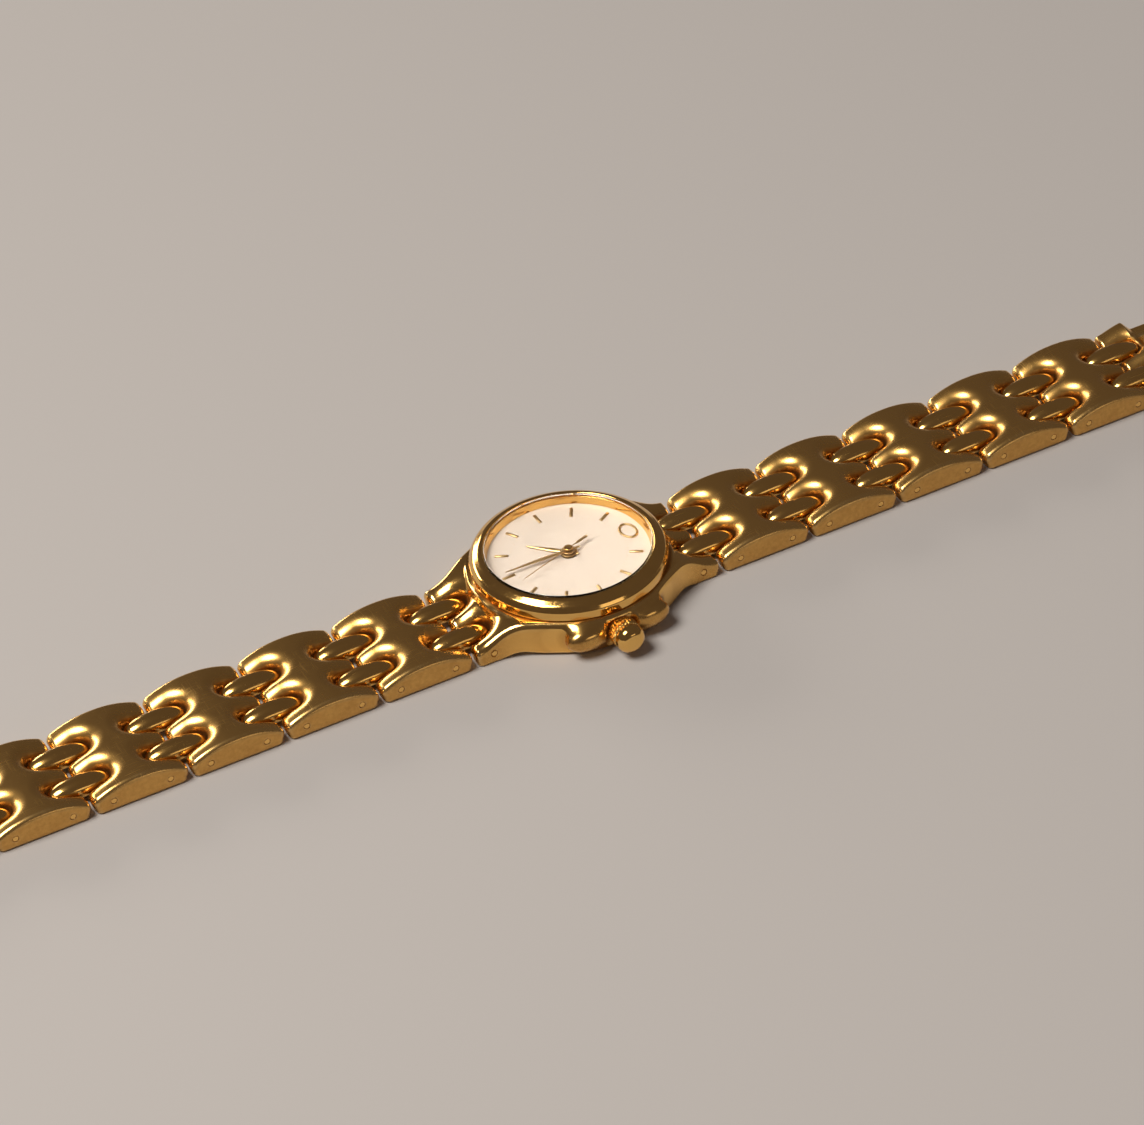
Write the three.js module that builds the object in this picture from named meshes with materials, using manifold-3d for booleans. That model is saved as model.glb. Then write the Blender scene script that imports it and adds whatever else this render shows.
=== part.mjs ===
// Ladies' bracelet wristwatch with an analogue quartz movement, laid out flat and open.
// Millimetres. The origin is the middle of the case back's flat outer face, +Z comes up out of the
// dial, +X runs along the bracelet towards 12 o'clock and the crown (3 o'clock) points along -Y.
import * as THREE from "three";
import { mergeVertices } from "three/addons/utils/BufferGeometryUtils.js";
import Module from "manifold-3d";

const wasm = await Module();
wasm.setup();

// ---- driving dimensions ----
const bezelRadius = 11;
const bezelFoot = 4.28;
const bezelTop = 6.4;
const bezelSeat = 10.15;
const caseRadius = 11.5;
const caseFoot = 0.25;
const caseShoulder = 4.2;
const caseNeckTop = 4.95;
const boreRadius = 9.5;
const backBoreRadius = 10;
const backThickness = 0.78;
const backRecess = 0.85;
const crystalRadius = 9.3;
const crystalFoot = 5.78;
const crystalTop = 6.6;
const dialRadius = 9.3;
const dialTop = 4.7;
const dialThickness = 0.4;
const dialHole = 0.85;
const markerRadius = 7.4;
const markerLength = 1.6;
const markerWidth = 0.34;

const braceletWidth = 13.4;
const barWidth = 2.5;
const linkPitch = 11.3;
const firstGap = 15.3;
const tipGap = 0.25;
const linksPerSide = 5;
const tipHeight = 2;
const linkHeight = 3.2;
const notchDepth = 3.75;
const pinHeight = 1.25;
const pinOffset = 2.35;
const pinRadius = 0.4;
const pinHoleRadius = 0.48;
const beadLength = 7;
const beadTop = 2.7;
const beadFoot = 0.2;

const crownHeight = 2.4;
const crownRadius = 1.7;
const tubeRadius = 0.9;
const tubeHoleRadius = 0.95;
const stemRadius = 0.45;
const guardRadius = 1.2;
const guardSpread = 3.2;
const handHour = 7 + 30.45 / 60;
const handMinute = 30.45;
const handSecond = 27;

const roundSteps = 40;
const smallSteps = 12;

// ---- colours ----
const gold = { color: 0xd9a441, roughness: 0.2, metalness: 1 };
const steel = { color: 0xb9bcc0, roughness: 0.35, metalness: 1 };
const brass = { color: 0xc9a45a, roughness: 0.35, metalness: 1 };
const copper = { color: 0xa8552c, roughness: 0.45, metalness: 0.8 };
const cream = { color: 0xefe6d8, roughness: 0.5, metalness: 0 };
const clear = { color: 0xeef4f6, roughness: 0.03, metalness: 0, transparent: true, opacity: 0.25 };
const nylon = { color: 0xd8b878, roughness: 0.4, metalness: 0 };
const rubber = { color: 0x222222, roughness: 0.8, metalness: 0 };
const plastic = { color: 0xd8d4c8, roughness: 0.6, metalness: 0 };
const board = { color: 0x2f6b3f, roughness: 0.6, metalness: 0 };

const watch = new THREE.Group();

// ---- helpers ----
function addPiece(name, solid, look) {
  const mesh = solid.getMesh();
  const geometry = new THREE.BufferGeometry();
  geometry.setAttribute("position", new THREE.BufferAttribute(mesh.vertProperties, 3));
  geometry.setIndex(new THREE.BufferAttribute(mesh.triVerts, 1));
  geometry.computeVertexNormals();
  const piece = new THREE.Mesh(geometry, new THREE.MeshStandardMaterial(look));
  piece.name = name;
  watch.add(piece);
}

function solidOf(geometry) {
  geometry.deleteAttribute("normal");
  geometry.deleteAttribute("uv");
  const merged = mergeVertices(geometry, 1e-4);
  return new wasm.Manifold(new wasm.Mesh({
    numProp: 3,
    vertProperties: new Float32Array(merged.attributes.position.array),
    triVerts: new Uint32Array(merged.index.array),
  }));
}

// A closed outline of [x, y] points drawn on a three.js shape.
function outline(points) {
  return new THREE.Shape(points.map(([x, y]) => new THREE.Vector2(x, y)));
}

// A solid turned about the Z axis from [radius, height] points in anticlockwise order.
function turned(points, steps = roundSteps) {
  const closed = points[0][0] === 0 ? points : [...points, points[0]];
  const profile = closed.map(([radius, height]) => new THREE.Vector2(radius, height));
  return solidOf(new THREE.LatheGeometry(profile, steps).rotateX(Math.PI / 2));
}

// A plan outline raised from one height to another.
function raised(shape, low, high) {
  const geometry = new THREE.ExtrudeGeometry(shape, { depth: high - low, bevelEnabled: false });
  return solidOf(geometry.translate(0, 0, low));
}

// A side view in X and Z carried across the width, with its long edges broken by a bevel.
function acrossWidth(points, width, bevel = 0) {
  const options = {
    depth: width - 2 * bevel,
    bevelEnabled: bevel > 0,
    bevelThickness: bevel,
    bevelSize: bevel,
    bevelOffset: -bevel,
    bevelSegments: 1,
  };
  const geometry = new THREE.ExtrudeGeometry(outline(points), options);
  return solidOf(geometry.rotateX(Math.PI / 2).translate(0, width / 2 - bevel, 0));
}

function box(x0, x1, y0, y1, z0, z1) {
  const geometry = new THREE.BoxGeometry(x1 - x0, y1 - y0, z1 - z0);
  return solidOf(geometry.translate((x0 + x1) / 2, (y0 + y1) / 2, (z0 + z1) / 2));
}

function disc(radius, low, high, steps = smallSteps) {
  return turned([[0, low], [radius, low], [radius, high], [0, high]], steps);
}

function tube(inner, outer, low, high, steps = smallSteps) {
  return turned([[inner, low], [outer, low], [outer, high], [inner, high]], steps);
}

// A round bar along Y.
function crossBar(radius, x, z, y0, y1, steps = smallSteps) {
  return disc(radius, 0, y1 - y0, steps).rotate([-90, 0, 0]).translate([x, y0, z]);
}

function joined(first, ...others) {
  return others.reduce((whole, other) => whole.add(other), first);
}

function cut(first, ...others) {
  return others.reduce((whole, other) => whole.subtract(other), first);
}

// A slot with one round end, open towards +X from the round end at floorX.
function notchCutter(floorX, mouthX, y, steps = 6) {
  const half = (braceletWidth - 3 * barWidth) / 4;
  const shape = new THREE.Shape();
  shape.moveTo(mouthX, y - half);
  shape.lineTo(mouthX, y + half);
  shape.lineTo(floorX + half, y + half);
  for (let i = 1; i < steps; i += 1) {
    const angle = Math.PI / 2 + (Math.PI * i) / steps;
    shape.lineTo(floorX + half + half * Math.cos(angle), y + half * Math.sin(angle));
  }
  shape.lineTo(floorX + half, y - half);
  return raised(shape, -1, 6);
}

const slotMiddle = (braceletWidth - barWidth) / 4;
const tipSetback = pinHeight * Math.tan((16 * Math.PI) / 180);

// The two notches and the pin hole at a bar end whose gap is centred at gapX, opening along +X.
function jointCutters(gapX) {
  const mouth = gapX + 2;
  return [
    notchCutter(gapX - notchDepth, mouth, slotMiddle),
    notchCutter(gapX - notchDepth, mouth, -slotMiddle),
    crossBar(pinHoleRadius, gapX - pinOffset, pinHeight, -8, 8, 6),
  ];
}

const turnRound = (solid) => solid.rotate([0, 0, 180]);

// ---- watch case ----
function lug() {
  const tip = firstGap - tipGap / 2;
  const side = [
    [8.4, caseFoot],
    [11.4, 0],
    [tip - tipSetback, 0],
    [tip, pinHeight],
    [tip, tipHeight - 0.25],
    [tip - 0.25, tipHeight],
    [13.6, 2.78],
    [12.4, 3.25],
    [11.2, 3.8],
    [10, 4.1],
    [8.4, 4.15],
  ];
  return cut(acrossWidth(side, braceletWidth, 0.3), ...jointCutters(firstGap));
}

// The concave flare between the round case and one side of a lug.
function flare() {
  const radius = 3;
  const half = braceletWidth / 2;
  const middleY = half + radius;
  const middleX = Math.sqrt((caseRadius + radius) ** 2 - middleY ** 2);
  const start = Math.atan2(-middleY, -middleX);
  const end = -Math.PI / 2;
  const points = [[middleX, half - 1.5], [7.6, half - 1.5]];
  for (let i = 0; i <= 4; i += 1) {
    const angle = start + ((end - start) * i) / 4;
    points.push([middleX + radius * Math.cos(angle), middleY + radius * Math.sin(angle)]);
  }
  return raised(outline(points.reverse()), 0.3, 3.85);
}

// One of the two rounded shoulders that stand on either side of the crown.
function guard(x) {
  const dome = new THREE.SphereGeometry(guardRadius, 10, 6);
  return solidOf(dome.translate(x, -caseRadius + 0.1, crownHeight));
}

function caseBody() {
  const ring = turned([
    [backBoreRadius, caseFoot],
    [caseRadius - 0.2, caseFoot],
    [caseRadius, caseFoot + 0.25],
    [caseRadius, caseShoulder - 0.35],
    [caseRadius - 0.35, caseShoulder],
    [bezelSeat - 0.05, caseShoulder],
    [bezelSeat - 0.05, caseNeckTop],
    [boreRadius, caseNeckTop],
    [boreRadius, backRecess],
    [backBoreRadius, backRecess],
  ]);
  const corner = flare();
  const corners = joined(corner, corner.mirror([0, 1, 0]));
  const end = joined(lug(), corners);
  const bore = joined(
    disc(boreRadius, -1, 8, roundSteps),
    disc(backBoreRadius, -1, backRecess, roundSteps),
  );
  const lugs = joined(end, turnRound(end)).subtract(bore);
  const guards = joined(guard(guardSpread), guard(-guardSpread)).subtract(bore);
  const tubeHole = crossBar(tubeHoleRadius, 0, crownHeight, -14, -8, 20);
  return joined(ring, lugs, guards).subtract(tubeHole);
}

addPiece("case_body", caseBody(), gold);

addPiece("bezel", turned([
  [bezelSeat, bezelFoot],
  [bezelRadius, bezelFoot],
  [bezelRadius, 5.1],
  [bezelRadius - 0.08, 5.55],
  [bezelRadius - 0.3, 6],
  [bezelRadius - 0.62, 6.3],
  [bezelRadius - 0.95, bezelTop],
  [9.55, bezelTop - 0.06],
  [9.38, bezelTop - 0.14],
  [9.38, bezelTop - 0.22],
  [9.6, bezelTop - 0.22],
  [9.6, caseNeckTop + 0.1],
  [bezelSeat, caseNeckTop + 0.1],
]), gold);

addPiece("crystal", turned([
  [0, crystalFoot],
  [crystalRadius, crystalFoot],
  [crystalRadius, 6.3],
  [crystalRadius - 0.4, 6.45],
  [5, crystalTop - 0.04],
  [0, crystalTop],
]), clear);

addPiece("crystal_gasket", tube(crystalRadius + 0.04, 9.56, 5.72, 6.15, roundSteps), nylon);

addPiece("flange_ring", turned([
  [8.9, dialTop + 0.04],
  [9.42, dialTop + 0.04],
  [9.42, 5.66],
  [9.22, 5.66],
]), gold);

// Eleven straight batons and a plain oval ring at 12 stand a little above the dial.
function dial() {
  const low = dialTop - 0.02;
  const high = dialTop + 0.16;
  const start = markerRadius - markerLength / 2;
  const half = markerWidth / 2;
  const baton = box(start, start + markerLength, -half, half, low, high);
  let whole = tube(dialHole, dialRadius, dialTop - dialThickness, dialTop, roundSteps);
  for (let hour = 1; hour < 12; hour += 1) whole = whole.add(baton.rotate([0, 0, -30 * hour]));
  const oval = tube(0.75, 1, low, high, 20).scale([1, 1.5, 1]);
  return whole.add(oval.translate([markerRadius, 0, 0]));
}

addPiece("dial", dial(), cream);

addPiece("case_back", turned([
  [0, 0],
  [9.7, 0],
  [9.9, 0.2],
  [9.9, backThickness],
  [9.1, backThickness],
  [9.1, 1.35],
  [8.7, 1.35],
  [8.7, backThickness],
  [0, backThickness],
]), steel);

addPiece("case_back_gasket", tube(9.15, 9.45, 0.84, 1.2, roundSteps), rubber);

// ---- hands ----
// A hand points along +X and is turned to its time: clockwise seen from above.
function hand({ reach, tail, width, low, high, hubRadius, boreSize }) {
  const blade = outline([
    [-tail, -width * 0.35],
    [0, -width * 0.5],
    [reach * 0.45, -width * 0.5],
    [reach, -width * 0.16],
    [reach, width * 0.16],
    [reach * 0.45, width * 0.5],
    [0, width * 0.5],
    [-tail, width * 0.35],
  ]);
  const whole = raised(blade, low, high).add(disc(hubRadius, low, high));
  return whole.subtract(disc(boreSize, low - 1, high + 1));
}

const clockwise = (solid, turns) => solid.rotate([0, 0, -360 * turns]);

const hourHand = {
  reach: 4.9, tail: 1.2, width: 0.56, low: 4.92, high: 5.02, hubRadius: 1.1, boreSize: 0.73,
};
const minuteHand = {
  reach: 7.6, tail: 1.4, width: 0.44, low: 5.16, high: 5.26, hubRadius: 0.8, boreSize: 0.45,
};
const secondsBlade = {
  reach: 6.8, tail: 3, width: 0.16, low: 5.4, high: 5.48, hubRadius: 0.5, boreSize: 0.17,
};

addPiece("hour_hand", clockwise(hand(hourHand), handHour / 12), gold);
addPiece("minute_hand", clockwise(hand(minuteHand), handMinute / 60), gold);

function secondsHand() {
  const { low, high, hubRadius, boreSize } = secondsBlade;
  const cap = disc(hubRadius, high, high + 0.18).subtract(disc(boreSize, low, high + 0.08));
  return hand(secondsBlade).add(cap);
}

addPiece("seconds_hand", clockwise(secondsHand(), handSecond / 60), gold);

// ---- crown and winding stem, which lie along -Y ----
function crown() {
  const teeth = 18;
  const knurl = new THREE.Shape();
  for (let i = 0; i < teeth; i += 1) {
    const radii = [crownRadius, crownRadius, crownRadius - 0.14, crownRadius - 0.14];
    radii.forEach((radius, step) => {
      const angle = ((i + step / 4) * 2 * Math.PI) / teeth;
      const move = i + step === 0 ? "moveTo" : "lineTo";
      knurl[move](radius * Math.cos(angle), radius * Math.sin(angle));
    });
  }
  const ring = raised(knurl, 11.85, 13.25);
  const dome = turned([
    [0, 13.2],
    [1.5, 13.2],
    [1.6, 13.5],
    [1.6, 13.85],
    [1.42, 14.3],
    [1, 14.65],
    [0.45, 14.85],
    [0, 14.9],
  ], 16);
  const whole = ring.add(dome).subtract(disc(1, 11, 13, 16));
  return whole.rotate([90, 0, 0]).translate([0, 0, crownHeight]);
}

const alongStem = (solid) => solid.rotate([90, 0, 0]).translate([0, 0, crownHeight]);

addPiece("crown", crown(), gold);
addPiece("crown_tube", alongStem(tube(stemRadius + 0.1, tubeRadius, 9.3, 12.6, 20)), brass);
addPiece("crown_stem", alongStem(turned([
  [0, 4.7],
  [stemRadius, 4.7],
  [stemRadius, 5.2],
  [stemRadius - 0.2, 5.2],
  [stemRadius - 0.2, 5.5],
  [stemRadius, 5.5],
  [stemRadius, 12.96],
  [0, 12.96],
], smallSteps)), steel);

// A fork in the stem's groove, with a flat foot beside it.
function settingYoke() {
  const fork = outline([
    [-0.6, 1.75],
    [0.6, 1.75],
    [0.6, 2.95],
    [0.3, 2.95],
    [0.3, 2.1],
    [-0.3, 2.1],
    [-0.3, 2.95],
    [-0.6, 2.95],
  ]);
  const plate = solidOf(new THREE.ExtrudeGeometry(fork, { depth: 0.2, bevelEnabled: false })
    .rotateX(Math.PI / 2).translate(0, -5.25, 0));
  return plate.add(box(0.5, 2.4, -5.9, -4.9, 1.75, 1.95));
}

addPiece("setting_yoke", settingYoke(), steel);

// ---- quartz movement ----
const plateLow = 3.15;
const plateHigh = 3.65;
const bridgeLow = 1.2;
const bridgeHigh = 1.6;
const cellRadius = 2.9;
const cellHigh = 2.8;
const arborRadius = 0.1;
const arborFoot = bridgeHigh + 0.06;
const arborHead = plateLow - 0.04;
const polar = (radius, degrees) => [
  radius * Math.cos((degrees * Math.PI) / 180),
  radius * Math.sin((degrees * Math.PI) / 180),
];
const batteryPlace = [-3.6, 3];
const stepPlace = polar(1.9, -40);
const rotorPlace = [stepPlace[0] + 1.04, stepPlace[1] - 0.6];
const thirdPlace = polar(1.95, -110);
const minutePlace = polar(2.8, 60);
const pillarPlaces = [[1.5, 6.6], [4.2, -5.4], [-6.9, 0]];

addPiece("movement_holder", tube(8, 9.05, 1.42, 4.24, roundSteps)
  .subtract(box(-1.1, 1.1, -10, -7, 1, 3.5)), plastic);

function mainPlate() {
  const pillar = disc(0.45, bridgeHigh + 0.04, plateLow + 0.1);
  const posts = pillarPlaces.map(([x, y]) => pillar.translate([x, y, 0]));
  const post = disc(arborRadius, plateHigh - 0.1, 4.2, 10).translate([...minutePlace, 0]);
  const plate = tube(0.78, 7.9, plateLow, plateHigh, 32);
  return joined(plate, post, ...posts);
}

addPiece("main_plate", mainPlate(), brass);
addPiece("train_bridge", disc(7.6, bridgeLow, bridgeHigh, 32)
  .subtract(disc(cellRadius + 0.15, 1, 2, 24).translate([...batteryPlace, 0])), steel);

addPiece("battery_cell", turned([
  [0, 1.15],
  [2.4, 1.15],
  [2.4, 1.28],
  [cellRadius, 1.34],
  [cellRadius, cellHigh],
  [0, cellHigh],
], 24).translate([...batteryPlace, 0]), steel);

function batteryClamp() {
  const reach = 3.9;
  const half = 0.6;
  const strip = box(-reach, reach, -half, half, 0.92, 1.04);
  const foot = box(reach - half, reach, -half, half, 1, 1.16);
  return joined(strip, foot, turnRound(foot)).rotate([0, 0, 50]).translate([...batteryPlace, 0]);
}

addPiece("battery_clamp", batteryClamp(), steel);

const coilX = 5.7;
addPiece("coil", joined(
  crossBar(0.68, coilX, 2.4, -2.4, 2.6),
  box(coilX - 0.25, coilX + 0.25, -3.5, 3.7, 2.3, 2.48),
), copper);

function stator() {
  const plan = outline([
    [1.85, -2.8],
    [3.5, -3.1],
    [5.2, -3.5],
    [6, -3.5],
    [6, -2.75],
    [4.8, -2.55],
    [3.6, -1.9],
    [4.7, 1],
    [4.85, 2.85],
    [6, 2.85],
    [6, 3.6],
    [4.4, 3.6],
    [3.9, 1.3],
    [2.9, -0.75],
    [1.85, -0.85],
  ]);
  return raised(plan, 2.52, 2.7).subtract(disc(0.72, 2, 3, 24).translate([...rotorPlace, 0]));
}

addPiece("stator", stator(), steel);

function circuitBoard() {
  const points = [];
  for (let angle = 190; angle <= 250; angle += 10) points.push(polar(7.3, angle));
  for (let angle = 250; angle >= 190; angle -= 10) points.push(polar(4.6, angle));
  const chip = box(5.1, 6.3, -0.7, 0.7, 1.98, 2.35).rotate([0, 0, 235]);
  const crystalCan = box(5.1, 6, -1.3, 1.3, 1.98, 2.5).rotate([0, 0, 207]);
  return joined(raised(outline(points), 1.8, 2), chip, crystalCan);
}

addPiece("circuit_board", circuitBoard(), board);

// A wheel on its arbor: stacked [radius, low, high] discs about one axis.
function wheel(place, ...layers) {
  return joined(...layers.map(([radius, low, high, steps = smallSteps]) => disc(radius, low, high, steps)))
    .translate([...place, 0]);
}

addPiece("rotor", wheel(
  rotorPlace,
  [arborRadius, arborFoot, arborHead],
  [0.18, 2.04, 2.4],
  [0.55, 2.36, 2.86],
), steel);
addPiece("step_wheel", wheel(
  stepPlace,
  [arborRadius, arborFoot, arborHead],
  [0.98, 2.06, 2.2, 18],
  [0.25, 2.18, 2.96],
), brass);
addPiece("third_wheel", wheel(
  thirdPlace,
  [arborRadius, arborFoot, arborHead],
  [1.7, 2.36, 2.5, 24],
  [0.2, 2.48, 3.1],
), brass);
addPiece("seconds_wheel", wheel(
  [0, 0],
  [0.14, arborFoot, 5.52],
  [0.22, 2.3, 2.8],
  [1.61, 2.76, 2.94, 24],
), brass);

const cannonBore = disc(0.2, 2, 6);
addPiece("centre_wheel", wheel(
  [0, 0],
  [1.71, 3, 3.1, 24],
  [0.42, 3.05, 5.28],
  [0.68, 3.72, 3.86],
).subtract(cannonBore), brass);
addPiece("hour_wheel", wheel(
  [0, 0],
  [2.2, 4, 4.1, 24],
  [0.7, 3.92, 5.04],
).subtract(disc(0.47, 3, 6)), brass);
addPiece("minute_wheel", wheel(
  minutePlace,
  [2.05, 3.74, 3.84, 24],
  [0.53, 3.8, 4.12],
).subtract(disc(0.15, 3, 5).translate([...minutePlace, 0])), brass);

// ---- bracelet ----
// The arched side view of a main link, centred on X = 0.
function linkSide() {
  const half = linkPitch / 2 - tipGap / 2;
  const side = [
    [-half, pinHeight],
    [-half + tipSetback, 0],
    [half - tipSetback, 0],
    [half, pinHeight],
    [half, tipHeight - 0.2],
  ];
  const arch = 6;
  for (let i = 0; i <= arch; i += 1) {
    const x = (half - 0.2) * (1 - (2 * i) / arch);
    side.push([x, tipHeight + (linkHeight - tipHeight) * (1 - (x / (half - 0.2)) ** 2)]);
  }
  side.push([-half, tipHeight - 0.2]);
  return side;
}

function mainLink() {
  const cutters = jointCutters(linkPitch / 2);
  return cut(acrossWidth(linkSide(), braceletWidth), ...cutters, ...cutters.map(turnRound));
}

// Two domed oval beads side by side on the two pins that they share, centred on X = 0.
function beadPair() {
  const radius = 1.35;
  const scale = (beadTop - beadFoot) / (2 * radius);
  const capsule = new THREE.CapsuleGeometry(radius, beadLength - 2 * radius, 2, 8);
  capsule.rotateZ(Math.PI / 2).scale(1, 1, scale).translate(0, 0, (beadTop + beadFoot) / 2);
  const bead = solidOf(capsule);
  const reach = braceletWidth / 2 - 0.1;
  return joined(
    bead.translate([0, slotMiddle, 0]),
    bead.translate([0, -slotMiddle, 0]),
    crossBar(pinRadius, -pinOffset, pinHeight, -reach, reach, 6),
    crossBar(pinRadius, pinOffset, pinHeight, -reach, reach, 6),
  );
}

const linkSolid = mainLink();
const beadSolid = beadPair();
const sides = [["top", 1], ["bottom", -1]];
sides.forEach(([side, sign]) => {
  for (let i = 0; i <= linksPerSide; i += 1) {
    const gapX = sign * (firstGap + i * linkPitch);
    addPiece(`beads_${side}_${i + 1}`, beadSolid.translate([gapX, 0, 0]), gold);
    if (i < linksPerSide) {
      const middle = gapX + (sign * linkPitch) / 2;
      addPiece(`link_${side}_${i + 1}`, linkSolid.translate([middle, 0, 0]), gold);
    }
  }
});

// ---- clasp: X is measured outward from the last gap of its side, then moved into place ----
const lastGap = firstGap + linksPerSide * linkPitch;
const hookReach = 23.6;
const barReach = 2 * firstGap - hookReach;
const hingeReach = 6.6;
const hingeHeight = 1.7;
const hingePinRadius = 0.38;
const hingeHoleRadius = 0.46;
const armPlace = 4.6;
const hookBarRadius = 0.6;
const baseHalf = 5.9;
const tongueHalf = 3.3;

// Three short bars with their notches and pin hole, ending in a sloped web.
function endBars(reach, footHeight) {
  const side = [
    [tipGap / 2, pinHeight],
    [tipGap / 2 + tipSetback, 0],
    [reach, 0],
    [reach, footHeight],
    [reach - 0.5, footHeight + 0.4],
    [notchDepth + 0.2, 2.8],
    [2.2, 2.75],
    [tipGap / 2 + 0.2, tipHeight],
    [tipGap / 2, tipHeight - 0.2],
  ];
  const cutters = jointCutters(0).map(turnRound);
  return cut(acrossWidth(side, braceletWidth, 0.3), ...cutters);
}

// The end link carries a cross bar between two arms, and the clasp's hook holds that bar.
function endLink() {
  const armSide = [
    [4, 0.45],
    [barReach + 0.5, 0.45],
    [barReach + 0.8, 0.8],
    [barReach + 0.8, 1.7],
    [barReach + 0.5, 2.05],
    [4, 2.05],
  ];
  const arm = acrossWidth(armSide, 2);
  return joined(
    endBars(barReach - 2.2, 1.6),
    arm.translate([0, armPlace, 0]),
    arm.translate([0, -armPlace, 0]),
    crossBar(hookBarRadius, barReach, pinHeight, -armPlace, armPlace),
  );
}

// The plate ends in a hook: a tongue with a stop on one side of the end link's bar and a lip
// on the other.
function claspBase() {
  const wide = (x0, x1, z0, z1) => box(x0, x1, -baseHalf, baseHalf, z0, z1);
  const narrow = (x0, x1, z0, z1) => box(x0, x1, -tongueHalf, tongueHalf, z0, z1);
  const whole = joined(
    endBars(5.2, 0.9),
    wide(hingeReach - 2, hookReach - 1.5, 0, 1),
    crossBar(0.68, hingeReach, hingeHeight, -baseHalf, baseHalf),
    wide(hingeReach - 0.6, hingeReach + 0.6, 0.5, hingeHeight),
    narrow(hookReach - 2, hookReach + 1.5, 0, 0.5),
    narrow(hookReach - 2, hookReach - 0.8, 0.4, 1.8),
    narrow(hookReach + 0.8, hookReach + 1.5, 0.4, 1.9),
  );
  return whole.subtract(crossBar(hingeHoleRadius, hingeReach, hingeHeight, -8, 8));
}

function claspCover() {
  const half = braceletWidth / 2;
  const top = [
    [hingeReach + 0.7, 2.4],
    [hookReach + 2, 2.4],
    [hookReach + 2, 2.75],
    [hookReach + 1.4, 3],
    [hingeReach + 1.4, 3],
    [hingeReach + 0.7, 2.75],
  ];
  const wallSide = [
    [hingeReach - 0.5, 0.9],
    [hingeReach, 0.6],
    [hookReach + 1.6, 0.4],
    [hookReach + 2, 0.8],
    [hookReach + 2, 2.6],
    [hingeReach + 0.9, 2.6],
    [hingeReach, 2.8],
    [hingeReach - 0.75, 2.45],
    [hingeReach - 1.05, 1.7],
  ];
  const wallThickness = 0.6;
  const wall = acrossWidth(wallSide, wallThickness).translate([0, half - wallThickness / 2, 0]);
  const walls = joined(wall, wall.mirror([0, 1, 0]));
  const whole = acrossWidth(top, braceletWidth, 0.2).add(walls);
  return whole.subtract(crossBar(hingeHoleRadius, hingeReach, hingeHeight, -8, 8));
}

const claspPinHalf = braceletWidth / 2 - 0.1;
const claspPin = crossBar(hingePinRadius, hingeReach, hingeHeight, -claspPinHalf, claspPinHalf);
const toBottomEnd = (solid) => turnRound(solid.translate([lastGap, 0, 0]));

addPiece("end_link", endLink().translate([lastGap, 0, 0]), gold);
addPiece("clasp_base", toBottomEnd(claspBase()), gold);
addPiece("clasp_cover", toBottomEnd(claspCover()), gold);
addPiece("clasp_pin", toBottomEnd(claspPin), gold);

export default watch;
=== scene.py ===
# Ladies' gold bracelet watch: the finished surfaces, finishes, studio and camera.
import bpy
import math
import numpy as np
from mathutils import Matrix, Vector


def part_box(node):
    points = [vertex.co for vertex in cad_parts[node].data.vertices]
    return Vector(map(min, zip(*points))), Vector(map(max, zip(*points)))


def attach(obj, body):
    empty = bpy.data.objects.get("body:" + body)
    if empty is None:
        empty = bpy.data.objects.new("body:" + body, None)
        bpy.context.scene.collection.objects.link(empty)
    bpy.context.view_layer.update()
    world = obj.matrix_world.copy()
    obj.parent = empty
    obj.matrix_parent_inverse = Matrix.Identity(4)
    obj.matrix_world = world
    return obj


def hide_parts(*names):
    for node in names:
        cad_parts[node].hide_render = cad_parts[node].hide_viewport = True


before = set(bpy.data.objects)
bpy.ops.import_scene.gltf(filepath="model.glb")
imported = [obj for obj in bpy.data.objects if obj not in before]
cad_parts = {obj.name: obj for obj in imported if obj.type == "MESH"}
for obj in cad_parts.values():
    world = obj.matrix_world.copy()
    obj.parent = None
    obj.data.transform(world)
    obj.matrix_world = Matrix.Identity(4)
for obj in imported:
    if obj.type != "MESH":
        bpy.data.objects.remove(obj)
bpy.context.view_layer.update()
bpy.context.scene.view_settings.view_transform = "Standard"
mm = 0.001
print("frame loaded,", len(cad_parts), "nodes")


# lowest and highest corner of a node, in millimetres
def boxOf(node):
    low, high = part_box(node)
    return np.array(low) / mm, np.array(high) / mm


# camera: millimetres and degrees, about the middle of the case back
cameraView = {"lens": 163.6, "sensor": 36, "distance": 571.8, "elevation": 37.36, "azimuth": 24.73,
              "roll": -5.33, "right": 0.264, "up": 3.043, "nearest": 0.01, "farthest": 20}


# The eye backs off from the origin against its line of sight, slides along its own right and up
# directions, and then turns about its line of sight.
def addCamera(view):
    turn, lift, roll = (math.radians(view[k]) for k in ("azimuth", "elevation", "roll"))
    right = Vector((math.cos(turn), -math.sin(turn), 0))
    level = Vector((math.sin(turn), math.cos(turn), 0))
    down = Vector((0, 0, -1))
    ahead = level * math.cos(lift) + down * math.sin(lift)
    over = level * math.sin(lift) - down * math.cos(lift)
    place = (right * view["right"] + over * view["up"] - ahead * view["distance"]) * mm
    side = right * math.cos(roll) + over * math.sin(roll)
    top = over * math.cos(roll) - right * math.sin(roll)
    data = bpy.data.cameras.new("studioCamera")
    data.lens = view["lens"]
    data.sensor_width = view["sensor"]
    data.clip_start, data.clip_end = view["nearest"], view["farthest"]
    camera = bpy.data.objects.new("studioCamera", data)
    camera.matrix_world = Matrix((
        (side.x, top.x, -ahead.x, place.x),
        (side.y, top.y, -ahead.y, place.y),
        (side.z, top.z, -ahead.z, place.z),
        (0, 0, 0, 1)))
    bpy.context.scene.collection.objects.link(camera)
    bpy.context.scene.camera = camera


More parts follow.
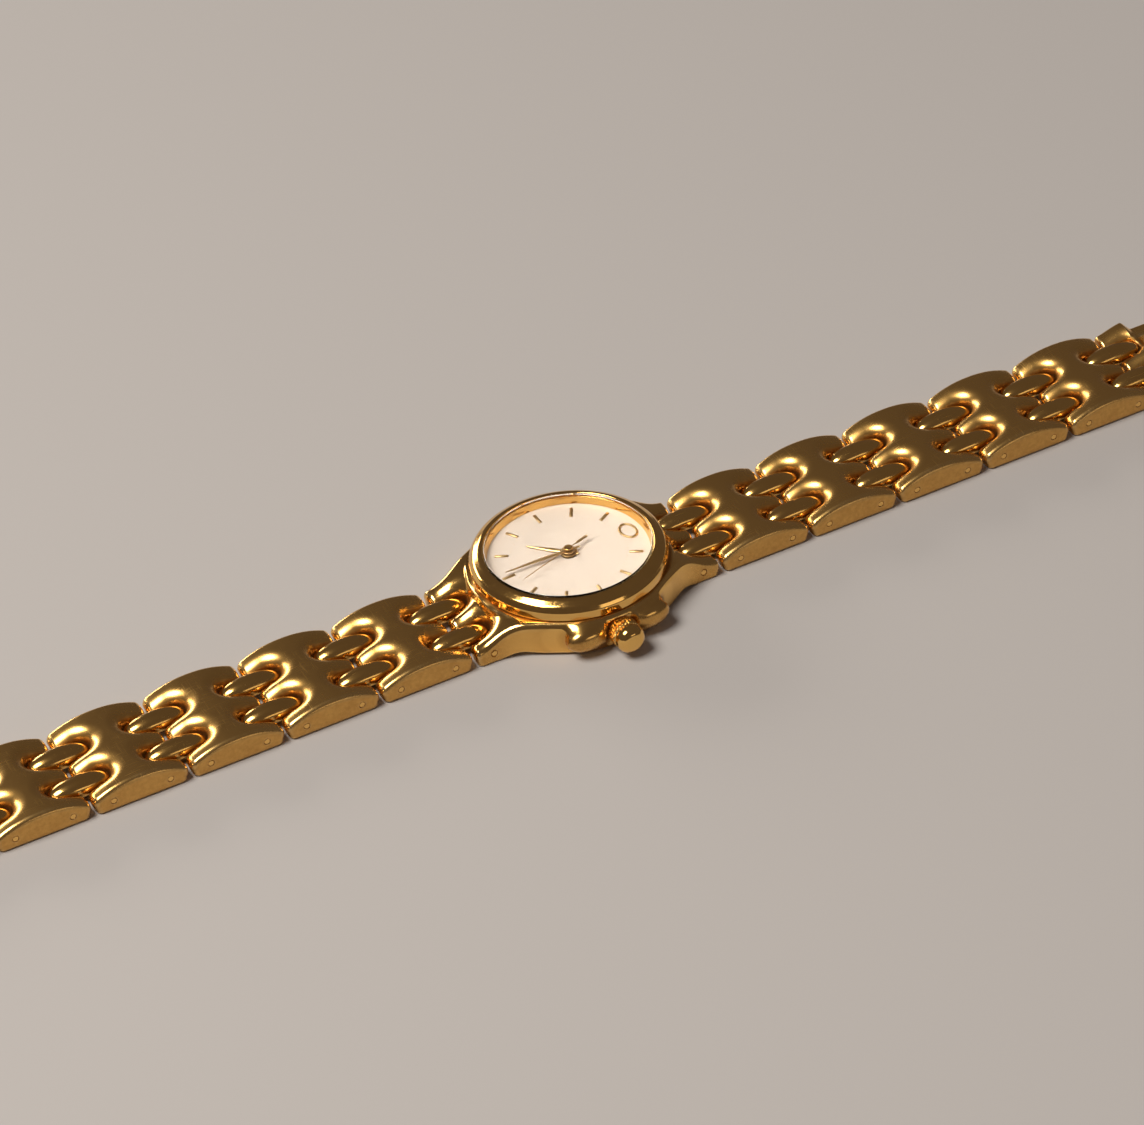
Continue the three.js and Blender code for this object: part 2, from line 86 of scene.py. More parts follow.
# studio: metres and watts; every lamp faces the watch
studio = {"floorSize": 3.0, "floorColor": (0.54, 0.515, 0.5, 1), "floorRoughness": 0.9,
          "floorShine": 0.15, "skyColor": (1.0, 0.83, 0.8, 1), "skyStrength": 0.095}
lights = {
    "windowLight": {"place": (-0.32, 0.95, 0.24), "size": (0.75, 0.20), "power": 4.6,
                    "color": (1.0, 0.93, 0.82)},
    "overheadSoft": {"place": (-0.42, -0.02, 0.74), "size": (0.42, 0.32), "power": 6.2,
                     "color": (1.0, 0.95, 0.88)},
    "frontFill": {"place": (0.25, -0.80, 0.30), "size": (0.4, 0.16), "power": 0.2,
                  "color": (1.0, 0.88, 0.74)},
}


def addLight(name, light):
    data = bpy.data.lights.new(name, "AREA")
    data.shape = "RECTANGLE"
    data.size, data.size_y = light["size"]
    data.energy = light["power"]
    data.color = light["color"]
    lamp = bpy.data.objects.new(name, data)
    place = Vector(light["place"])
    lamp.location = place
    lamp.rotation_euler = (-place).to_track_quat("-Z", "Y").to_euler()
    bpy.context.scene.collection.objects.link(lamp)


def addFloor(look):
    half = look["floorSize"] / 2
    mesh = bpy.data.meshes.new("studioFloor")
    corners = [(-half, -half, 0), (half, -half, 0), (half, half, 0), (-half, half, 0)]
    mesh.from_pydata(corners, [], [(0, 1, 2, 3)])
    floor = bpy.data.objects.new("studioFloor", mesh)
    bpy.context.scene.collection.objects.link(floor)
    material = bpy.data.materials.new("studioFloorPaper")
    material.use_nodes = True
    shader = material.node_tree.nodes["Principled BSDF"]
    shader.inputs["Base Color"].default_value = look["floorColor"]
    shader.inputs["Roughness"].default_value = look["floorRoughness"]
    shader.inputs["Specular IOR Level"].default_value = look["floorShine"]
    mesh.materials.append(material)
    world = bpy.data.worlds.new("studioSky")
    world.use_nodes = True
    sky = world.node_tree.nodes["Background"]
    sky.inputs["Color"].default_value = look["skyColor"]
    sky.inputs["Strength"].default_value = look["skyStrength"]
    bpy.context.scene.world = world


addCamera(cameraView)
addFloor(studio)
for lightName, light in lights.items():
    addLight(lightName, light)
print("camera and studio ready")


# short ways to make and join shader nodes
def node(tree, kind, **settings):
    made = tree.nodes.new(kind)
    for key, value in settings.items():
        setattr(made, key, value)
    return made


def setInputs(made, **values):
    for key, value in values.items():
        made.inputs[key].default_value = value
    return made


def link(tree, source, target):
    tree.links.new(source, target)


def mathNode(tree, operation, first, second=None, clamp=False):
    made = node(tree, "ShaderNodeMath", operation=operation, use_clamp=clamp)
    for index, value in enumerate((first, second)):
        if value is None:
            continue
        if isinstance(value, (int, float)):
            made.inputs[index].default_value = value
        else:
            link(tree, value, made.inputs[index])
    return made.outputs[0]


def mixColor(tree, factor, first, second, blend="MIX"):
    made = node(tree, "ShaderNodeMix", data_type="RGBA", blend_type=blend)
    given = ((made.inputs[0], factor), (made.inputs[6], first), (made.inputs[7], second))
    for socket, value in given:
        if isinstance(value, (int, float, tuple)):
            socket.default_value = value
        else:
            link(tree, value, socket)
    return made.outputs[2]


def spread(tree, value, low, high, newLow=0.0, newHigh=1.0):
    made = node(tree, "ShaderNodeMapRange")
    setInputs(made, **{"From Min": low, "From Max": high, "To Min": newLow, "To Max": newHigh})
    link(tree, value, made.inputs["Value"])
    return made.outputs[0]


def place(tree, source, scale, turn=(0, 0, 0)):
    made = node(tree, "ShaderNodeMapping")
    made.inputs["Scale"].default_value = scale
    made.inputs["Rotation"].default_value = tuple(math.radians(a) for a in turn)
    link(tree, source, made.inputs["Vector"])
    return made.outputs[0]


def noise(tree, vector, scale, detail=3.0, rough=0.5):
    made = node(tree, "ShaderNodeTexNoise")
    setInputs(made, Scale=scale, Detail=detail, Roughness=rough)
    link(tree, vector, made.inputs["Vector"])
    return made.outputs["Fac"]


def newGroup(name, inputs, outputs):
    group = bpy.data.node_groups.new(name, "ShaderNodeTree")
    for label, kind, value in inputs:
        socket = group.interface.new_socket(label, in_out="INPUT", socket_type="NodeSocket" + kind)
        socket.default_value = value
    for label, kind in outputs:
        group.interface.new_socket(label, in_out="OUTPUT", socket_type="NodeSocket" + kind)
    return group, node(group, "NodeGroupInput"), node(group, "NodeGroupOutput")


# sizes of the worn polish: noise scales, where each noise starts and ends, and how much it does
polish = {"cloudScale": 420, "fineScale": 2600, "patchScale": 240, "patchRange": (0.42, 0.62),
          "hairRange": (0.62, 0.7), "cloudTint": 0.13, "scratchRoughness": 0.2,
          "hollowRoughness": 0.28, "fineHeight": 0.25, "scratchHeight": 0.6, "cloudHeight": 0.6,
          "hairs": (((10, 0, 24), (380, 9000, 5200)), ((0, 14, -38), (7200, 420, 5200))),
          "depth": 0.00002}


# Worn polish and painted shade: soft clouding, long hairline scratches in two directions, the
# tarnish colour mixed in as painted shade where the hollow mask is high, and a paler rub on the high
# edges.
def wornAndShadedPolishGroup():
    group, given, made = newGroup("wornAndShadedPolish", [
        ("Color", "Color", (0.8, 0.5, 0.16, 1)), ("Tarnish", "Color", (0.3, 0.12, 0.03, 1)),
        ("Rub", "Color", (0.95, 0.75, 0.4, 1)), ("Roughness", "Float", 0.15),
        ("Clouding", "Float", 0.08), ("Scratches", "Float", 0.4), ("Scale", "Float", 1.0),
        ("HollowShade", "Float", 0.0), ("Edge", "Float", 0.0),
    ], [("Color", "Color"), ("Roughness", "Float"), ("Height", "Float")])
    coords = node(group, "ShaderNodeTexCoord").outputs["Object"]
    scaled = node(group, "ShaderNodeVectorMath", operation="SCALE")
    link(group, coords, scaled.inputs[0])
    link(group, given.outputs["Scale"], scaled.inputs["Scale"])
    base = scaled.outputs[0]
    cloud = noise(group, base, polish["cloudScale"], 4, 0.6)
    fine = noise(group, base, polish["fineScale"], 3, 0.6)
    lines = []
    for turn, stretch in polish["hairs"]:
        hair = noise(group, place(group, base, stretch, turn), 1.0, 2, 0.5)
        lines.append(spread(group, hair, *polish["hairRange"]))
    scratch = mathNode(group, "MAXIMUM", lines[0], lines[1])
    patch = spread(group, noise(group, base, polish["patchScale"], 2, 0.5), *polish["patchRange"])
    scratch = mathNode(group, "MULTIPLY", scratch, patch)
    scratch = mathNode(group, "MULTIPLY", scratch, given.outputs["Scratches"])
    # the hollow mask is painted shade: it mixes in the tarnish colour and raises the roughness
    hollowShade = mathNode(group, "MULTIPLY", given.outputs["HollowShade"],
                      spread(group, fine, 0.25, 0.7, 0.65, 1.15), clamp=True)
    edge = mathNode(group, "MULTIPLY", given.outputs["Edge"],
                    spread(group, cloud, 0.35, 0.65, 0.25, 1.0), clamp=True)
    tint = mixColor(group, spread(group, cloud, 0.35, 0.7, 0.0, polish["cloudTint"]),
                    given.outputs["Color"], given.outputs["Tarnish"])
    tint = mixColor(group, edge, tint, given.outputs["Rub"])
    # painted shade: the colour darkens towards the tarnish colour in hollows and on open flanks
    tint = mixColor(group, hollowShade, tint, given.outputs["Tarnish"])
    link(group, tint, made.inputs["Color"])
    rough = mathNode(group, "ADD", given.outputs["Roughness"],
                     mathNode(group, "MULTIPLY", given.outputs["Clouding"],
                              spread(group, cloud, 0.3, 0.7)))
    rough = mathNode(group, "ADD", rough,
                     mathNode(group, "MULTIPLY", scratch, polish["scratchRoughness"]))
    rough = mathNode(group, "ADD", rough,
                     mathNode(group, "MULTIPLY", hollowShade, polish["hollowRoughness"]), clamp=True)
    link(group, rough, made.inputs["Roughness"])
    height = mathNode(group, "SUBTRACT", mathNode(group, "MULTIPLY", fine, polish["fineHeight"]),
                      mathNode(group, "MULTIPLY", scratch, polish["scratchHeight"]))
    height = mathNode(group, "ADD", height,
                      mathNode(group, "MULTIPLY", cloud, polish["cloudHeight"]))
    link(group, height, made.inputs["Height"])
    return group


wornAndShadedPolish = wornAndShadedPolishGroup()


# one metal from the worn polish and painted shade group; a mesh that has the hollow mask of painted
# shade and the edge mask gives them to it
def metal(name, look):
    material = bpy.data.materials.new(name)
    material.use_nodes = True
    tree = material.node_tree
    shader = tree.nodes["Principled BSDF"]
    shader.inputs["Metallic"].default_value = 1.0
    wornAndShaded = node(tree, "ShaderNodeGroup")
    wornAndShaded.node_tree = wornAndShadedPolish
    setInputs(wornAndShaded, Color=look["color"] + (1,), Tarnish=look["tarnishAndShade"] + (1,),
              Rub=look["rub"] + (1,), Roughness=look["roughness"], Clouding=look["clouding"],
              Scratches=look["scratches"], Scale=look.get("scale", 1.0))
    # the hollow attribute is painted shade, from the mesh's occlusion and flank mask
    if look.get("masks"):
        hollowShade = node(tree, "ShaderNodeAttribute", attribute_name="hollowShade")
        edge = node(tree, "ShaderNodeAttribute", attribute_name="edge")
        link(tree, mathNode(tree, "MULTIPLY", hollowShade.outputs["Fac"], look["hollowShade"]),
             wornAndShaded.inputs["HollowShade"])
        link(tree, mathNode(tree, "MULTIPLY", edge.outputs["Fac"], look["edge"]),
             wornAndShaded.inputs["Edge"])
    link(tree, wornAndShaded.outputs["Color"], shader.inputs["Base Color"])
    link(tree, wornAndShaded.outputs["Roughness"], shader.inputs["Roughness"])
    bump = node(tree, "ShaderNodeBump")
    setInputs(bump, Strength=look["bump"], Distance=polish["depth"])
    link(tree, wornAndShaded.outputs["Height"], bump.inputs["Height"])
    link(tree, bump.outputs[0], shader.inputs["Normal"])
    return material


# turned or brushed metal: fine rings about an axis, or straight lines, over the same clouding
def brushedMetal(name, look):
    material = metal(name, look)
    tree = material.node_tree
    shader = tree.nodes["Principled BSDF"]
    coords = node(tree, "ShaderNodeTexCoord").outputs["Object"]
    if look["lines"] == "rings":
        split = node(tree, "ShaderNodeSeparateXYZ")
        link(tree, coords, split.inputs[0])
        flat = node(tree, "ShaderNodeCombineXYZ")
        squares = mathNode(tree, "ADD", mathNode(tree, "POWER", split.outputs[0], 2),
                           mathNode(tree, "POWER", split.outputs[1], 2))
        link(tree, mathNode(tree, "SQRT", squares), flat.inputs[0])
        grain = noise(tree, place(tree, flat.outputs[0], (9000, 1, 1)), 1.0, 3, 0.7)
    else:
        grain = noise(tree, place(tree, coords, look["stretch"]), 1.0, 3, 0.7)
    bump = node(tree, "ShaderNodeBump")
    setInputs(bump, Strength=look["brush"], Distance=0.00001)
    link(tree, grain, bump.inputs["Height"])
    old = shader.inputs["Normal"].links[0].from_socket
    link(tree, old, bump.inputs["Normal"])
    link(tree, bump.outputs[0], shader.inputs["Normal"])
    return material


# tarnish tints the random clouding and is also the painted shade colour; hollow is how strong that
# painted shade is
goldLook = {"color": (0.93, 0.56, 0.165), "tarnishAndShade": (0.36, 0.155, 0.035),
            "rub": (0.97, 0.78, 0.42), "roughness": 0.22, "clouding": 0.06, "scratches": 0.5,
            "bump": 0.09, "masks": True, "hollowShade": 0.9, "edge": 0.4}
caseGold = metal("caseGold", dict(goldLook, roughness=0.12, clouding=0.06))
braceletGold = metal("braceletGold", goldLook)
beadGold = metal("beadGold", dict(goldLook, roughness=0.13, clouding=0.07, masks=False,
                                  scratches=0.6))
bezelGold = metal("bezelGold", dict(goldLook, roughness=0.08, clouding=0.06, masks=False,
                                    scratches=0.7))
handGold = metal("handGold", {"color": (0.66, 0.44, 0.19), "tarnishAndShade": (0.4, 0.24, 0.09),
                              "rub": (0.8, 0.6, 0.3), "roughness": 0.34, "clouding": 0.06,
                              "scratches": 0.1, "bump": 0.1, "scale": 2.0})
markerGold = metal("markerGold", {"color": (0.58, 0.4, 0.18), "tarnishAndShade": (0.36, 0.22, 0.09),
                                  "rub": (0.8, 0.6, 0.3), "roughness": 0.36, "clouding": 0.06,
                                  "scratches": 0.1, "bump": 0.1, "scale": 2.0})
backSteel = brushedMetal("backSteel", {"color": (0.6, 0.6, 0.6), "tarnishAndShade": (0.32, 0.31, 0.3),
                                       "rub": (0.8, 0.8, 0.8), "roughness": 0.26, "clouding": 0.12,
                                       "scratches": 0.8, "bump": 0.25, "lines": "rings",
                                       "brush": 0.35})
movementSteel = brushedMetal("movementSteel", {"color": (0.56, 0.57, 0.58),
                                               "tarnishAndShade": (0.34, 0.33, 0.32),
                                               "rub": (0.75, 0.75, 0.76), "roughness": 0.3,
                                               "clouding": 0.1, "scratches": 0.3, "bump": 0.2,
                                               "lines": "straight", "stretch": (300, 9000, 9000),
                                               "brush": 0.35})
movementBrass = brushedMetal("movementBrass", {"color": (0.64, 0.46, 0.2),
                                               "tarnishAndShade": (0.36, 0.24, 0.1),
                                               "rub": (0.8, 0.66, 0.36), "roughness": 0.28,
                                               "clouding": 0.1, "scratches": 0.3, "bump": 0.2,
                                               "lines": "rings", "brush": 0.3})
coilCopper = brushedMetal("coilCopper", {"color": (0.5, 0.19, 0.08), "tarnishAndShade": (0.3, 0.1, 0.04),
                                         "rub": (0.7, 0.35, 0.18), "roughness": 0.3,
                                         "clouding": 0.08, "scratches": 0.1, "bump": 0.1,
                                         "lines": "straight", "stretch": (400, 16000, 400),
                                         "brush": 0.9})


# a solid-coloured moulding or lacquer: base colour with soft speckle, roughness and a fine bump
def coated(name, look):
    material = bpy.data.materials.new(name)
    material.use_nodes = True
    tree = material.node_tree
    shader = tree.nodes["Principled BSDF"]
    shader.inputs["Coat Weight"].default_value = look.get("coat", 0.0)
    shader.inputs["Coat Roughness"].default_value = 0.12
    coords = node(tree, "ShaderNodeTexCoord").outputs["Object"]
    cloud = noise(tree, coords, look["cloudScale"], 4, 0.6)
    grain = noise(tree, coords, look["grainScale"], 3, 0.6)
    color = mixColor(tree, spread(tree, cloud, 0.3, 0.7), look["color"] + (1,),
                     look["shade"] + (1,))
    link(tree, color, shader.inputs["Base Color"])
    rough = spread(tree, grain, 0.3, 0.7, look["roughness"] - 0.05, look["roughness"] + 0.08)
    link(tree, rough, shader.inputs["Roughness"])
    bump = node(tree, "ShaderNodeBump")
    setInputs(bump, Strength=look["bump"], Distance=0.00002)
    link(tree, grain, bump.inputs["Height"])
    link(tree, bump.outputs[0], shader.inputs["Normal"])
    return material


dialLacquer = coated("dialLacquer", {"color": (0.58, 0.5, 0.43), "shade": (0.55, 0.47, 0.4),
                                     "cloudScale": 160, "grainScale": 9000, "roughness": 0.42,
                                     "bump": 0.12, "coat": 0.15})
# the crystal gasket: an amber that is partly the nylon's own tint and partly a painted gold
# reflection
nylonTintAndGoldReflection = coated("nylonTintAndGoldReflection", {"color": (0.72, 0.52, 0.24), "shade": (0.66, 0.47, 0.2),
                                   "cloudScale": 300, "grainScale": 3000, "roughness": 0.35,
                                   "bump": 0.1})
gasketRubber = coated("gasketRubber", {"color": (0.018, 0.018, 0.018),
                                       "shade": (0.03, 0.028, 0.026), "cloudScale": 500,
                                       "grainScale": 5000, "roughness": 0.75, "bump": 0.3})
holderPlastic = coated("holderPlastic", {"color": (0.68, 0.65, 0.57), "shade": (0.62, 0.59, 0.5),
                                         "cloudScale": 200, "grainScale": 4000, "roughness": 0.5,
                                         "bump": 0.2})
circuitGreen = coated("circuitGreen", {"color": (0.012, 0.09, 0.035), "shade": (0.01, 0.065, 0.03),
                                       "cloudScale": 600, "grainScale": 3500, "roughness": 0.4,
                                       "bump": 0.3, "coat": 0.3})


# clear glass that lets the lamps' light straight through to the dial
def clearGlass(name):
    material = bpy.data.materials.new(name)
    material.use_nodes = True
    tree = material.node_tree
    shader = tree.nodes["Principled BSDF"]
    setInputs(shader, **{"Base Color": (0.985, 0.99, 0.985, 1), "Roughness": 0.01,
                         "Transmission Weight": 1.0, "IOR": 1.5})
    coords = node(tree, "ShaderNodeTexCoord").outputs["Object"]
    drawn = place(tree, coords, (500, 9000, 500), (0, 0, 30))
    hair = spread(tree, noise(tree, drawn, 1.0, 2, 0.5), 0.66, 0.72)
    bump = node(tree, "ShaderNodeBump")
    setInputs(bump, Strength=0.04, Distance=0.00001)
    link(tree, hair, bump.inputs["Height"])
    link(tree, bump.outputs[0], shader.inputs["Normal"])
    path = node(tree, "ShaderNodeLightPath")
    clear = node(tree, "ShaderNodeBsdfTransparent")
    mix = node(tree, "ShaderNodeMixShader")
    link(tree, path.outputs["Is Shadow Ray"], mix.inputs[0])
    link(tree, shader.outputs[0], mix.inputs[1])
    link(tree, clear.outputs[0], mix.inputs[2])
    link(tree, mix.outputs[0], tree.nodes["Material Output"].inputs["Surface"])
    return material


crystalGlass = clearGlass("crystalGlass")
print("materials ready")


# Puts whole arrays of points (in millimetres) and faces into a mesh, with its own smooth normals
# and masks.
def addPiece(name, points, faces, material, body, nodes, normals=None, masks=None):
    mesh = bpy.data.meshes.new(name)
    mesh.vertices.add(len(points))
    mesh.vertices.foreach_set("co", (points * mm).astype(np.float32).ravel())
    corners = np.concatenate([f.ravel() for f in faces]).astype(np.int32)
    sizes = np.concatenate([np.full(len(f), f.shape[1]) for f in faces])
    starts = np.concatenate([[0], np.cumsum(sizes)[:-1]]).astype(np.int32)
    mesh.loops.add(len(corners))
    mesh.loops.foreach_set("vertex_index", corners)
    mesh.polygons.add(len(sizes))
    mesh.polygons.foreach_set("loop_start", starts)
    mesh.polygons.foreach_set("use_smooth", np.ones(len(sizes), bool))
    mesh.update(calc_edges=True)
    mesh.validate()
    for label, values in (masks or {}).items():
        layer = mesh.attributes.new(label, "FLOAT", "POINT")
        layer.data.foreach_set("value", values.astype(np.float32))
    if normals is not None:
        mesh.normals_split_custom_set_from_vertices(normals.tolist())
    mesh.materials.append(material)
    piece = bpy.data.objects.new(name, mesh)
    bpy.context.scene.collection.objects.link(piece)
    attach(piece, body)
    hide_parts(*nodes)
    return piece


# quads over a grid of points, joined end to end in either direction where asked
def gridFaces(rows, columns, wrapRows=False, wrapColumns=False, start=0):
    r = np.arange(rows if wrapRows else rows - 1)
    c = np.arange(columns if wrapColumns else columns - 1)
    r, c = (a.ravel() for a in np.meshgrid(r, c, indexing="ij"))
    nextR, nextC = (r + 1) % rows, (c + 1) % columns
    return start + np.stack([r * columns + c, nextR * columns + c,
                             nextR * columns + nextC, r * columns + nextC], 1)


# Rounds each corner of a polygon with an arc that touches both its sides, and gives the points with
# the outward normal of each, which turns evenly along the arc. Corners are (u, v, radius).
def roundedLine(corners, closed, arcSteps=7):
    corners = np.array(corners, float)
    count = len(corners)
    sides = np.roll(corners[:, :2], -1, 0) - corners[:, :2]
    heading = np.arctan2(sides[:, 1], sides[:, 0])
    turns = (heading - np.roll(heading, 1) + np.pi) % (2 * np.pi) - np.pi
    wanted = corners[:, 2] * np.abs(np.tan(turns / 2))
    if not closed:
        wanted[[0, -1]] = 0
    points, normals = [], []
    for i in range(count):
        here, radius = corners[i, :2], corners[i, 2]
        if not closed and i in (0, count - 1):
            other = corners[1, :2] - here if i == 0 else here - corners[-2, :2]
            other = other / np.linalg.norm(other)
            points.append(here[None])
            normals.append(np.array([[other[1], -other[0]]]))
            continue
        before, after = here - corners[i - 1, :2], corners[(i + 1) % count, :2] - here
        lengthIn, lengthOut = np.linalg.norm(before), np.linalg.norm(after)
        before, after = before / lengthIn, after / lengthOut
        turn = math.atan2(before[0] * after[1] - before[1] * after[0], float(before @ after))
        shareIn = 0.98 * lengthIn / max(wanted[i] + wanted[i - 1], lengthIn)
        shareOut = 0.98 * lengthOut / max(wanted[i] + wanted[(i + 1) % count], lengthOut)
        reach = wanted[i] * min(shareIn, shareOut)
        radius = reach / max(abs(math.tan(turn / 2)), 1e-9)
        normalIn = np.array([before[1], -before[0]])
        share = np.linspace(0, 1, arcSteps)
        angle = share * turn
        rotated = np.stack([normalIn[0] * np.cos(angle) - normalIn[1] * np.sin(angle),
                            normalIn[0] * np.sin(angle) + normalIn[1] * np.cos(angle)], 1)
        centre = here - before * reach - normalIn * radius * np.sign(turn)
        points.append(centre + rotated * radius * np.sign(turn))
        normals.append(rotated)
    return np.concatenate(points), np.concatenate(normals)


# Fills the long straight runs of a line with extra points, so that quads stay near square.
def filledLine(points, normals, closed, longest):
    nextPoints = np.roll(points, -1, 0) if closed else points[1:]
    nextNormals = np.roll(normals, -1, 0) if closed else normals[1:]
    pieces, sides = [], []
    for p, q, n, m in zip(points, nextPoints, normals, nextNormals):
        steps = max(1, int(math.ceil(np.linalg.norm(q - p) / longest)))
        share = np.arange(steps)[:, None] / steps
        pieces.append(p + (q - p) * share)
        sides.append(n + (m - n) * share)
    if not closed:
        pieces.append(points[-1:])
        sides.append(normals[-1:])
    return np.concatenate(pieces), np.concatenate(sides)


# A turned surface: x = r cos a, y = r sin a, z = height, for each (r, height) of the side line.
# An open line starts and ends on the axis, where one point closes each pole.
def turned(corners, closed, steps=256, longest=0.5, arcSteps=7):
    line, side = filledLine(*roundedLine(corners, closed, arcSteps), closed, longest)
    angle = np.arange(steps) * 2 * np.pi / steps
    c, s = np.cos(angle)[:, None], np.sin(angle)[:, None]
    inner = line if closed else line[1:-1]
    innerSide = side if closed else side[1:-1]
    level = np.ones((steps, 1))
    points = np.stack([inner[:, 0] * c, inner[:, 0] * s, inner[:, 1] * level], 2).reshape(-1, 3)
    normals = np.stack([innerSide[:, 0] * c, innerSide[:, 0] * s, innerSide[:, 1] * level], 2)
    normals = normals.reshape(-1, 3)
    faces = [gridFaces(steps, len(inner), True, closed)]
    if not closed:
        first, last = len(points), len(points) + 1
        points = np.concatenate([points, [[0, 0, line[0, 1]], [0, 0, line[-1, 1]]]])
        normals = np.concatenate([normals, [[0, 0, -1], [0, 0, 1]]])
        around = np.arange(steps)
        nextAround = (around + 1) % steps
        width = len(inner)
        faces.append(np.stack([np.full(steps, first), nextAround * width, around * width], 1))
        faces.append(np.stack([around * width + width - 1, nextAround * width + width - 1,
                               np.full(steps, last)], 1))
    normals = normals / np.linalg.norm(normals, axis=1, keepdims=True)
    return points, faces, normals


def shifted(made, offset):
    return (made[0] + np.array(offset),) + tuple(made[1:])


# lays a piece made about Z down so that its axis runs along -Y, and moves it to a place
layDown = np.array([[1, 0, 0], [0, 0, -1], [0, 1, 0]], float).T


def laid(made, offset=(0, 0, 0)):
    return shifted((made[0] @ layDown, made[1], made[2] @ layDown), offset)


# The shapes below are distances that are under zero inside the metal. This one is where two solids
# overlap, with the shared edge rolled to a radius.
def rolledEdge(a, b, radius):
    return np.minimum(-radius, np.maximum(a, b)) + np.hypot(np.maximum(a + radius, 0),
                                                            np.maximum(b + radius, 0))


# two solids as one, with a fillet of a radius where they meet
def filleted(a, b, radius):
    return np.maximum(radius, np.minimum(a, b)) - np.hypot(np.maximum(radius - a, 0),
                                                           np.maximum(radius - b, 0))


def smoothStep(x, low, high):
    t = np.clip((x - low) / (high - low), 0, 1)
    return t * t * (3 - 2 * t)


# slope of a distance at points, by central differences
def slopeOf(field, p, reach=0.02):
    parts = []
    for axis in range(3):
        move = np.zeros(3)
        move[axis] = reach
        parts.append(field(*(p + move).T) - field(*(p - move).T))
    return np.stack(parts, 1) / (2 * reach)


# The surface where a distance is zero. Each grid cell that the surface crosses gets one point, the
# mean of the crossings on its twelve edges; a quad joins the four cells around each crossed edge;
# then every point is moved along the slope until the distance there is zero.
def skin(field, low, high, step):
    low = np.array(low, float)
    counts = np.ceil((np.array(high) - low) / step).astype(int) + 1
    axes = [low[a] + step * np.arange(counts[a]) for a in range(3)]
    value = field(*np.meshgrid(*axes, indexing="ij"))
    inside = value < 0
    cells = counts - 1
    total = np.zeros(tuple(cells) + (3,))
    hits = np.zeros(tuple(cells))
    for a in range(3):
        b, c = (a + 1) % 3, (a + 2) % 3
        first = np.take(value, np.arange(counts[a] - 1), a)
        second = np.take(value, np.arange(1, counts[a]), a)
        crossed = (first < 0) != (second < 0)
        share = np.where(crossed, first / np.where(crossed, first - second, 1), 0)
        for db in (0, 1):
            for dc in (0, 1):
                window = [slice(None)] * 3
                window[b] = slice(db, db + cells[b])
                window[c] = slice(dc, dc + cells[c])
                on, part = crossed[tuple(window)], share[tuple(window)]
                hits += on
                total[..., a] += on * part
                total[..., b] += on * db
                total[..., c] += on * dc
    active = hits > 0
    number = np.full(tuple(cells), -1)
    number[active] = np.arange(active.sum())
    where = np.argwhere(active)
    points = low + step * (where + total[active] / hits[active][:, None])
    quads = []
    for a in range(3):
        b, c = (a + 1) % 3, (a + 2) % 3
        first = np.take(inside, np.arange(counts[a] - 1), a)
        second = np.take(inside, np.arange(1, counts[a]), a)
        spot = np.argwhere(first != second)
        corner = []
        for db, dc in ((-1, -1), (0, -1), (0, 0), (-1, 0)):
            cell = spot.copy()
            cell[:, b] += db
            cell[:, c] += dc
            corner.append(number[tuple(cell.T)])
        quad = np.stack(corner, 1)
        outward = first[tuple(spot.T)]
        quads.append(np.where(outward[:, None], quad, quad[:, ::-1]))
    quads = np.concatenate(quads)
    start = points.copy()
    for _ in range(3):
        slope = slopeOf(field, points)
        size = np.maximum((slope ** 2).sum(1), 0.05)
        points = points - slope * (field(*points.T) / size)[:, None]
    moved = points - start
    far = np.linalg.norm(moved, axis=1, keepdims=True)
    points = start + moved * np.minimum(1, step * 0.9 / np.maximum(far, 1e-9))
    points[:, 2] = np.maximum(points[:, 2], 0)
    normals = slopeOf(field, points, 0.03)
    normals = normals / np.linalg.norm(normals, axis=1, keepdims=True)
    return points, [quads], normals


# the hollow and flank settings paint shade into the gold; the bend settings place the rubbed edges
wearAndShade = {"reaches": ((0.25, 0.9), (0.5, 0.8), (0.9, 0.6), (1.5, 0.45)), "hollowStart": 0.15,
        "hollowSpan": 1.9, "flankTarnish": 0.62, "flankSlope": (0.8, 0.99),
        "flankOpen": (2, 1.2, 1.9), "bendReach": 0.12, "bendStart": 0.6, "bendSpan": 2.2}


# Hollow, a mask of painted shade: how much nearer the metal around is than open space would be, a
# few steps out along the normal (an ambient occlusion), plus a share that darkens upright faces with
# open space beside them. Edge: how fast the distance bends outwards across the surface.
def wearAndShadeMasks(points, normals, field, around):
    hollowShade = np.zeros(len(points))
    for reach, weight in wearAndShade["reaches"]:
        hollowShade += weight * (reach - around(*(points + normals * reach).T)) / reach
    bend = np.zeros(len(points))
    for axis in range(3):
        move = np.zeros(3)
        move[axis] = wearAndShade["bendReach"]
        bend += field(*(points + move).T) + field(*(points - move).T) - 2 * field(*points.T)
    bend = bend / wearAndShade["bendReach"] ** 2
    far, near, clear = wearAndShade["flankOpen"]
    # painted shade on upright flanks that face open space
    flank = smoothStep(np.hypot(normals[:, 0], normals[:, 1]), *wearAndShade["flankSlope"])
    flank = flank * smoothStep(around(*(points + normals * far).T), near, clear)
    hollowShade = (hollowShade - wearAndShade["hollowStart"]) / wearAndShade["hollowSpan"] + wearAndShade["flankTarnish"] * flank
    edge = (bend - wearAndShade["bendStart"]) / wearAndShade["bendSpan"]
    return {"hollowShade": np.clip(hollowShade, 0, 1), "edge": np.clip(edge, 0, 1)}


